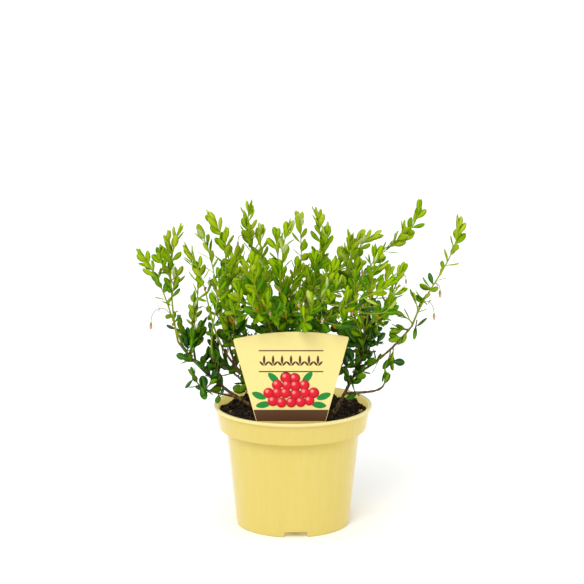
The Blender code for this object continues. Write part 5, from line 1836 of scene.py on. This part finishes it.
shoot_play = leaf_rng.normal(0, SHOOT_TONE_PLAY, len(every))[owner]
calm = 1 - TIP_CALM * np.exp(-from_tip / TIP_CALM_RANGE)
leaf_play = leaf_rng.normal(0, LEAF_TONE_PLAY, len(number)) * calm
newness = np.exp(-from_tip / NEW_RANGE) * (LOW_NEWNESS + (1 - LOW_NEWNESS) * heights)
tone = LEAST_TONE + HEIGHT_TONE * heights + (NEW_TONE * newness + SHOOT_TONE) * tones[owner]
tone = tone + shoot_play + leaf_play
green_number = np.digitize(tone, TONE_STEPS)
turned_pale = leaf_rng.uniform(0, 1, len(number)) < PALE_SHARE
turned_pale &= (green_number >= PALE_FROM_GREEN) & (heights > PALE_ABOVE)
green_number = np.where(turned_pale, len(GREENS) - 2, green_number)
turned_amber = leaf_rng.uniform(0, 1, len(number)) < AMBER_SHARE
turned_amber &= (np.abs(heights - AMBER_HEIGHT) < AMBER_HEIGHT_RANGE) & (from_tip > AMBER_FROM_TIP)
leaf_size = np.where(turned_amber, AMBER_SIZE * leaf_size, leaf_size)
green_number = np.where(turned_amber, len(GREENS) - 1, green_number)
print("leaves of each green:", np.bincount(green_number[fits]).tolist())


def leaf_finish(name, colour, rough, gloss):
    """A leathery surface: a plain green, a soft sheen that varies and the fine grain of its skin."""
    finish = Finish(name, colour, rough, Specular_IOR_Level=gloss)
    finish.rough(rough + 0.16 * finish.noise(600.0, 2.0))
    finish.bump(finish.noise(1500.0, 2.0), 0.00006)
    return finish.material


def leaf_piece(green, chosen):
    """The chosen leaves as one mesh. A leaf has one more row of six faces than it has rings."""
    frames = leaf_frame[chosen] * leaf_size[chosen, None, None]
    form = leaf_kind[chosen]
    part = np.tile(SIDE_COLOURS, len(chosen) * (len(LEAF_ROWS) + 1))
    materials = [
        leaf_finish("leaf_" + green.name, green.face, green.rough, green.gloss),
        leaf_finish("rib_" + green.name, green.rib, green.rough + 0.05, green.gloss),
        leaf_finish("back_" + green.name, green.back, 0.55, 0.01),
    ]
    mesh = placed(frames, leaf_root[chosen], form_rings[form], form_poles[form])
    piece = new_piece("leaves_" + green.name, *mesh, materials, "foliage", part=part)
    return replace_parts(piece, *foliage_nodes)


for place, green in enumerate(GREENS):
    leaf_piece(green, np.flatnonzero(fits & (green_number == place)))

# %% [markdown]
# ## Flower buds
#
# In early summer cranberries hang out nodding buds, each on a hair-thin stalk that arches out of the
# leaves and bends down. The bud is a turned drop, pink with a green cup, and halfway up its stalk sit two
# tiny bracts. A stalk is one more Bezier tube, and a bud is one more stack of rings, hung straight down.

# %% Where buds hang
# Each row is the pixel where a bud's own top is seen, and its depth.
SEEN_BUDS = (
    ((151, 322), -0.010), ((434, 313), -0.008), ((440, 290), -0.008), ((406, 279), -0.014),
    ((196, 316), -0.016), ((209, 280), -0.030), ((270, 308), -0.052), ((299, 300), -0.054),
    ((352, 308), -0.046), ((243, 296), -0.044), ((322, 316), -0.056), ((236, 318), -0.030),
)
BARE_OF_BUDS = ("far_left", "far_right", "high_right") + LOW_CLUMPS
BUD_COUNT = 30
BUD_FORK = (0.05, 0.45)
BUD_REACH = (0.006, 0.011)
BUD_RISE = (0.001, 0.005)
BUD_SIDE_PLAY = 0.9
BUD_SIZE_PLAY = (0.75, 1.15)
BEARING_ROWS = 14
BUD_LENGTH = 0.0056
BUD_RADIUS = 0.0011
STALK_RADIUS = 0.00026
STALK_ROWS = 12
STALK_SIDES = 5
BUD_SEED = 31

bud_rng = np.random.default_rng(BUD_SEED)
shoot_points = shoot_lines[:len(leading), :BEARING_ROWS].reshape(-1, 3)
seen_places = np.array([seen_at(*row) for row in SEEN_BUDS])
nearest = np.linalg.norm(seen_places[:, None] - (0, 0, 0.002) - shoot_points, axis=2).argmin(axis=1)
may_bear = [place for place, shoot in enumerate(leading) if shoot.clump not in BARE_OF_BUDS]
bearers = bud_rng.choice(may_bear, BUD_COUNT)
bud_share = starts[bearers] + (1 - starts[bearers]) * bud_rng.uniform(*BUD_FORK, BUD_COUNT)
stalk_root = bezier(ends[bearers], bud_share[:, None])[:, 0]
bud_turn = np.arctan2(stalk_root[:, 1], stalk_root[:, 0]) + bud_rng.normal(0, BUD_SIDE_PLAY, BUD_COUNT)
reach = bud_rng.uniform(*BUD_REACH, BUD_COUNT)
bud_rise = bud_rng.uniform(*BUD_RISE, BUD_COUNT)
bud_place = stalk_root + np.column_stack([reach * np.cos(bud_turn), reach * np.sin(bud_turn), bud_rise])
stalk_root = np.vstack([shoot_points[nearest], stalk_root])
bud_place = np.vstack([seen_places, bud_place])
print("buds before the rule on space:", len(bud_place))

# %% Stalks that arch over and hang down
ARCH = 0.55
LEAST_ARCH = 0.003
ARCH_REACH = 0.35
ARCH_FALL = 0.9
STALK_CARD_AIR = 0.003

level_way = (bud_place - stalk_root) * (1, 1, 0)
arch = (LEAST_ARCH + ARCH * np.linalg.norm(level_way, axis=1))[:, None] * (0, 0, 1)
rising = stalk_root + ARCH_REACH * level_way + arch
falling = bud_place + ARCH_FALL * arch
stalk_ends = np.stack([stalk_root, rising, falling, bud_place], axis=1)
stalk_lines = bezier(stalk_ends, np.tile(np.linspace(0, 1, STALK_ROWS), (len(bud_place), 1)))
bud_fits = ~touches_card(stalk_lines, STALK_CARD_AIR).any(axis=1)
bud_fits &= np.all((stalk_lines > low_corner - LOW_BOX_AIR) & (stalk_lines < high_corner), axis=(1, 2))
stalk_lines = stalk_lines[bud_fits]
print("buds:", len(stalk_lines))

stalk_red = Finish("stalk_red", (0.22, 0.14, 0.06), 0.5)
stalk_red.colour(stalk_red.mix(stalk_red.noise(200.0), (0.26, 0.10, 0.05), (0.22, 0.24, 0.06)))
bud_pink = Finish("bud_pink", (0.62, 0.28, 0.20), 0.45)
blush = bud_pink.ramp(bud_pink.noise(260.0, 2.0), 0.35, 0.65)
bud_pink.colour(bud_pink.mix(blush, (0.66, 0.40, 0.27), (0.60, 0.20, 0.15)))
cup_green = Finish("cup_green", (0.20, 0.32, 0.03), 0.5)
cup_green.bump(cup_green.noise(900.0), 0.0001)
stalk_radii = np.full(stalk_lines.shape[:2], STALK_RADIUS)
new_piece("bud_stalks", *tubes(stalk_lines, stalk_radii, STALK_SIDES), [stalk_red.material], "foliage")

# %% Two bracts on each stalk
BRACT_LENGTH = 0.0030
BRACT_ROW = 5
BRACT_UPRIGHT = 0.6

stalk_count = len(stalk_lines)
bract_root = np.repeat(stalk_lines[:, BRACT_ROW], 2, axis=0)
stalk_way = np.repeat(unit(stalk_lines[:, BRACT_ROW + 1] - stalk_lines[:, BRACT_ROW - 1]), 2, axis=0)
bract_turn = np.repeat(bud_rng.uniform(0, 2 * math.pi, stalk_count), 2) + np.tile([0, math.pi], stalk_count)
bract_side = unit(np.cross(stalk_way, (0.3, 1.0, 0.1)))
bract_out = round_axis(bract_turn, bract_side, np.cross(stalk_way, bract_side))
bract_way = unit(BRACT_UPRIGHT * stalk_way + bract_out)
bract_face = unit(np.cross(np.cross(bract_way, stalk_way), bract_way))
bract_frame = BRACT_LENGTH * np.stack([np.cross(bract_way, bract_face), bract_way, bract_face], axis=-1)
bract_form = np.zeros(len(bract_root), int)
bract_mesh = placed(bract_frame, bract_root, form_rings[bract_form], form_poles[bract_form])
new_piece("bud_bracts", *bract_mesh, [cup_green.material], "foliage")

# %% Drops on the stalks' ends
BUD_SECTION = np.array([(0.0, 0.0), (0.42, 0.04), (0.72, 0.16), (0.80, 0.28), (1.0, 0.46), (0.92, 0.66),
                        (0.58, 0.84), (0.22, 0.95), (0.0, 1.0)])
BUD_SIDES = 8
CUP_ROWS = 3

hang = unit(stalk_lines[:, -1] - stalk_lines[:, -2] + (0, 0, -0.002))
hang_side = unit(np.cross(hang, (0.3, 1.0, 0.0)))
hang_front = np.cross(hang, hang_side)
girth = BUD_RADIUS * BUD_SECTION[1:-1, 0]
drop = BUD_LENGTH * BUD_SECTION[1:-1, 1]
bud_size = bud_rng.uniform(*BUD_SIZE_PLAY, stalk_count)
round_way = round_axis(full_turn(BUD_SIDES), hang_side[:, None], hang_front[:, None])
rings = girth[:, None, None] * round_way[:, None] + drop[:, None, None] * hang[:, None, None]
bud_rings = stalk_lines[:, -1][:, None, None] + bud_size[:, None, None, None] * rings
bud_tip = stalk_lines[:, -1] + bud_size[:, None] * BUD_LENGTH * hang
quad_part = np.repeat((np.arange(len(girth) - 1) >= CUP_ROWS).astype(int), BUD_SIDES)
fan_part = np.repeat([0, 1], BUD_SIDES)
bud_part = np.concatenate([np.tile(quad_part, len(bud_tip)), np.tile(fan_part, len(bud_tip))])
bud_mesh = capped_rings(bud_rings, stalk_lines[:, -1], bud_tip)
new_piece("flower_buds", *bud_mesh, [cup_green.material, bud_pink.material], "foliage", part=bud_part)

# %% [markdown]
# ## Studio
#
# The plant stands on a plain white floor in soft, even light from a white room. A broad sun high in front
# gives the leaves their shape. A tall lamp at the left gives that side of the pot a soft sheen, and a wider
# one at the right keeps the other side from going dull. The camera looks down by twelve degrees through a
# long lens.

# %% Floor and room
FLOOR_SIZE = 12.0
ROOM_STRENGTH = 0.95

floor_mesh = bpy.data.meshes.new("floor")
half = FLOOR_SIZE / 2
floor_corners = [(-half, -half, 0), (half, -half, 0), (half, half, 0), (-half, half, 0)]
floor_mesh.from_pydata(floor_corners, [], [(0, 1, 2, 3)])
floor = bpy.data.objects.new("floor", floor_mesh)
bpy.context.scene.collection.objects.link(floor)
paper = Finish("white_floor", (0.93, 0.93, 0.93), 0.9, Specular_IOR_Level=0.1)
floor_mesh.materials.append(paper.material)

world = bpy.data.worlds.new("white_room")
world.use_nodes = True
background = world.node_tree.nodes["Background"]
background.inputs["Color"].default_value = (1.0, 1.0, 1.0, 1.0)
background.inputs["Strength"].default_value = ROOM_STRENGTH
bpy.context.scene.world = world
print("floor", FLOOR_SIZE, "m")

# %% Lamps
from mathutils import Matrix

PLANT_MIDDLE = np.array([0.0, 0.0, 0.13])
SUN_STRENGTH = 1.3
SUN_WIDTH = math.radians(30)
# The sun's azimuth, elevation and distance.
SUN_PLACE = (-16, 48, 3.0)
LAMP_TALL = 1.2
LAMP_ELEVATION = 8
# Each tall lamp's width, power, azimuth and distance.
TALL_LAMPS = {"strip": (0.34, 2.7, -105, 1.1), "fill": (0.60, 2.2, 85, 1.3)}


def matrix_of(x, y, z, place):
    """A matrix whose columns are three axes and a place."""
    return Matrix([[x[i], y[i], z[i], place[i]] for i in range(3)] + [[0, 0, 0, 1]])


def lamp(data, azimuth, elevation, distance):
    """A lamp that faces the plant. Azimuth 0 is in front, and positive degrees are to the right."""
    a, e = math.radians(azimuth), math.radians(elevation)
    back = np.array([math.sin(a) * math.cos(e), -math.cos(a) * math.cos(e), math.sin(e)])
    side_way = unit(np.cross((0.0, 0.0, 1.0), back))
    made = bpy.data.objects.new(data.name, data)
    bpy.context.scene.collection.objects.link(made)
    made.matrix_world = matrix_of(side_way, np.cross(back, side_way), back, PLANT_MIDDLE + distance * back)


daylight = bpy.data.lights.new("daylight", "SUN")
daylight.energy = SUN_STRENGTH
daylight.angle = SUN_WIDTH
lamp(daylight, *SUN_PLACE)
for name, (width, power, azimuth, distance) in TALL_LAMPS.items():
    light = bpy.data.lights.new(name, "AREA")
    light.shape = "RECTANGLE"
    light.size = width
    light.size_y = LAMP_TALL
    light.energy = power
    lamp(light, azimuth, LAMP_ELEVATION, distance)
print("lamps:", len(bpy.data.lights))

# %% Camera
camera_data = bpy.data.cameras.new("camera")
camera_data.lens = CAMERA_LENS
camera_data.sensor_width = SENSOR_WIDTH
camera_data.clip_end = 20.0
camera = bpy.data.objects.new("camera", camera_data)
bpy.context.scene.collection.objects.link(camera)
right_way = np.array([1.0, 0.0, 0.0])
upright_way = np.cross(looking_back, right_way)
camera.matrix_world = matrix_of(right_way, upright_way, looking_back, camera_place)
bpy.context.scene.camera = camera
bpy.context.scene.view_settings.view_transform = "Standard"
print("camera at", [round(float(v), 3) for v in camera.matrix_world.translation])
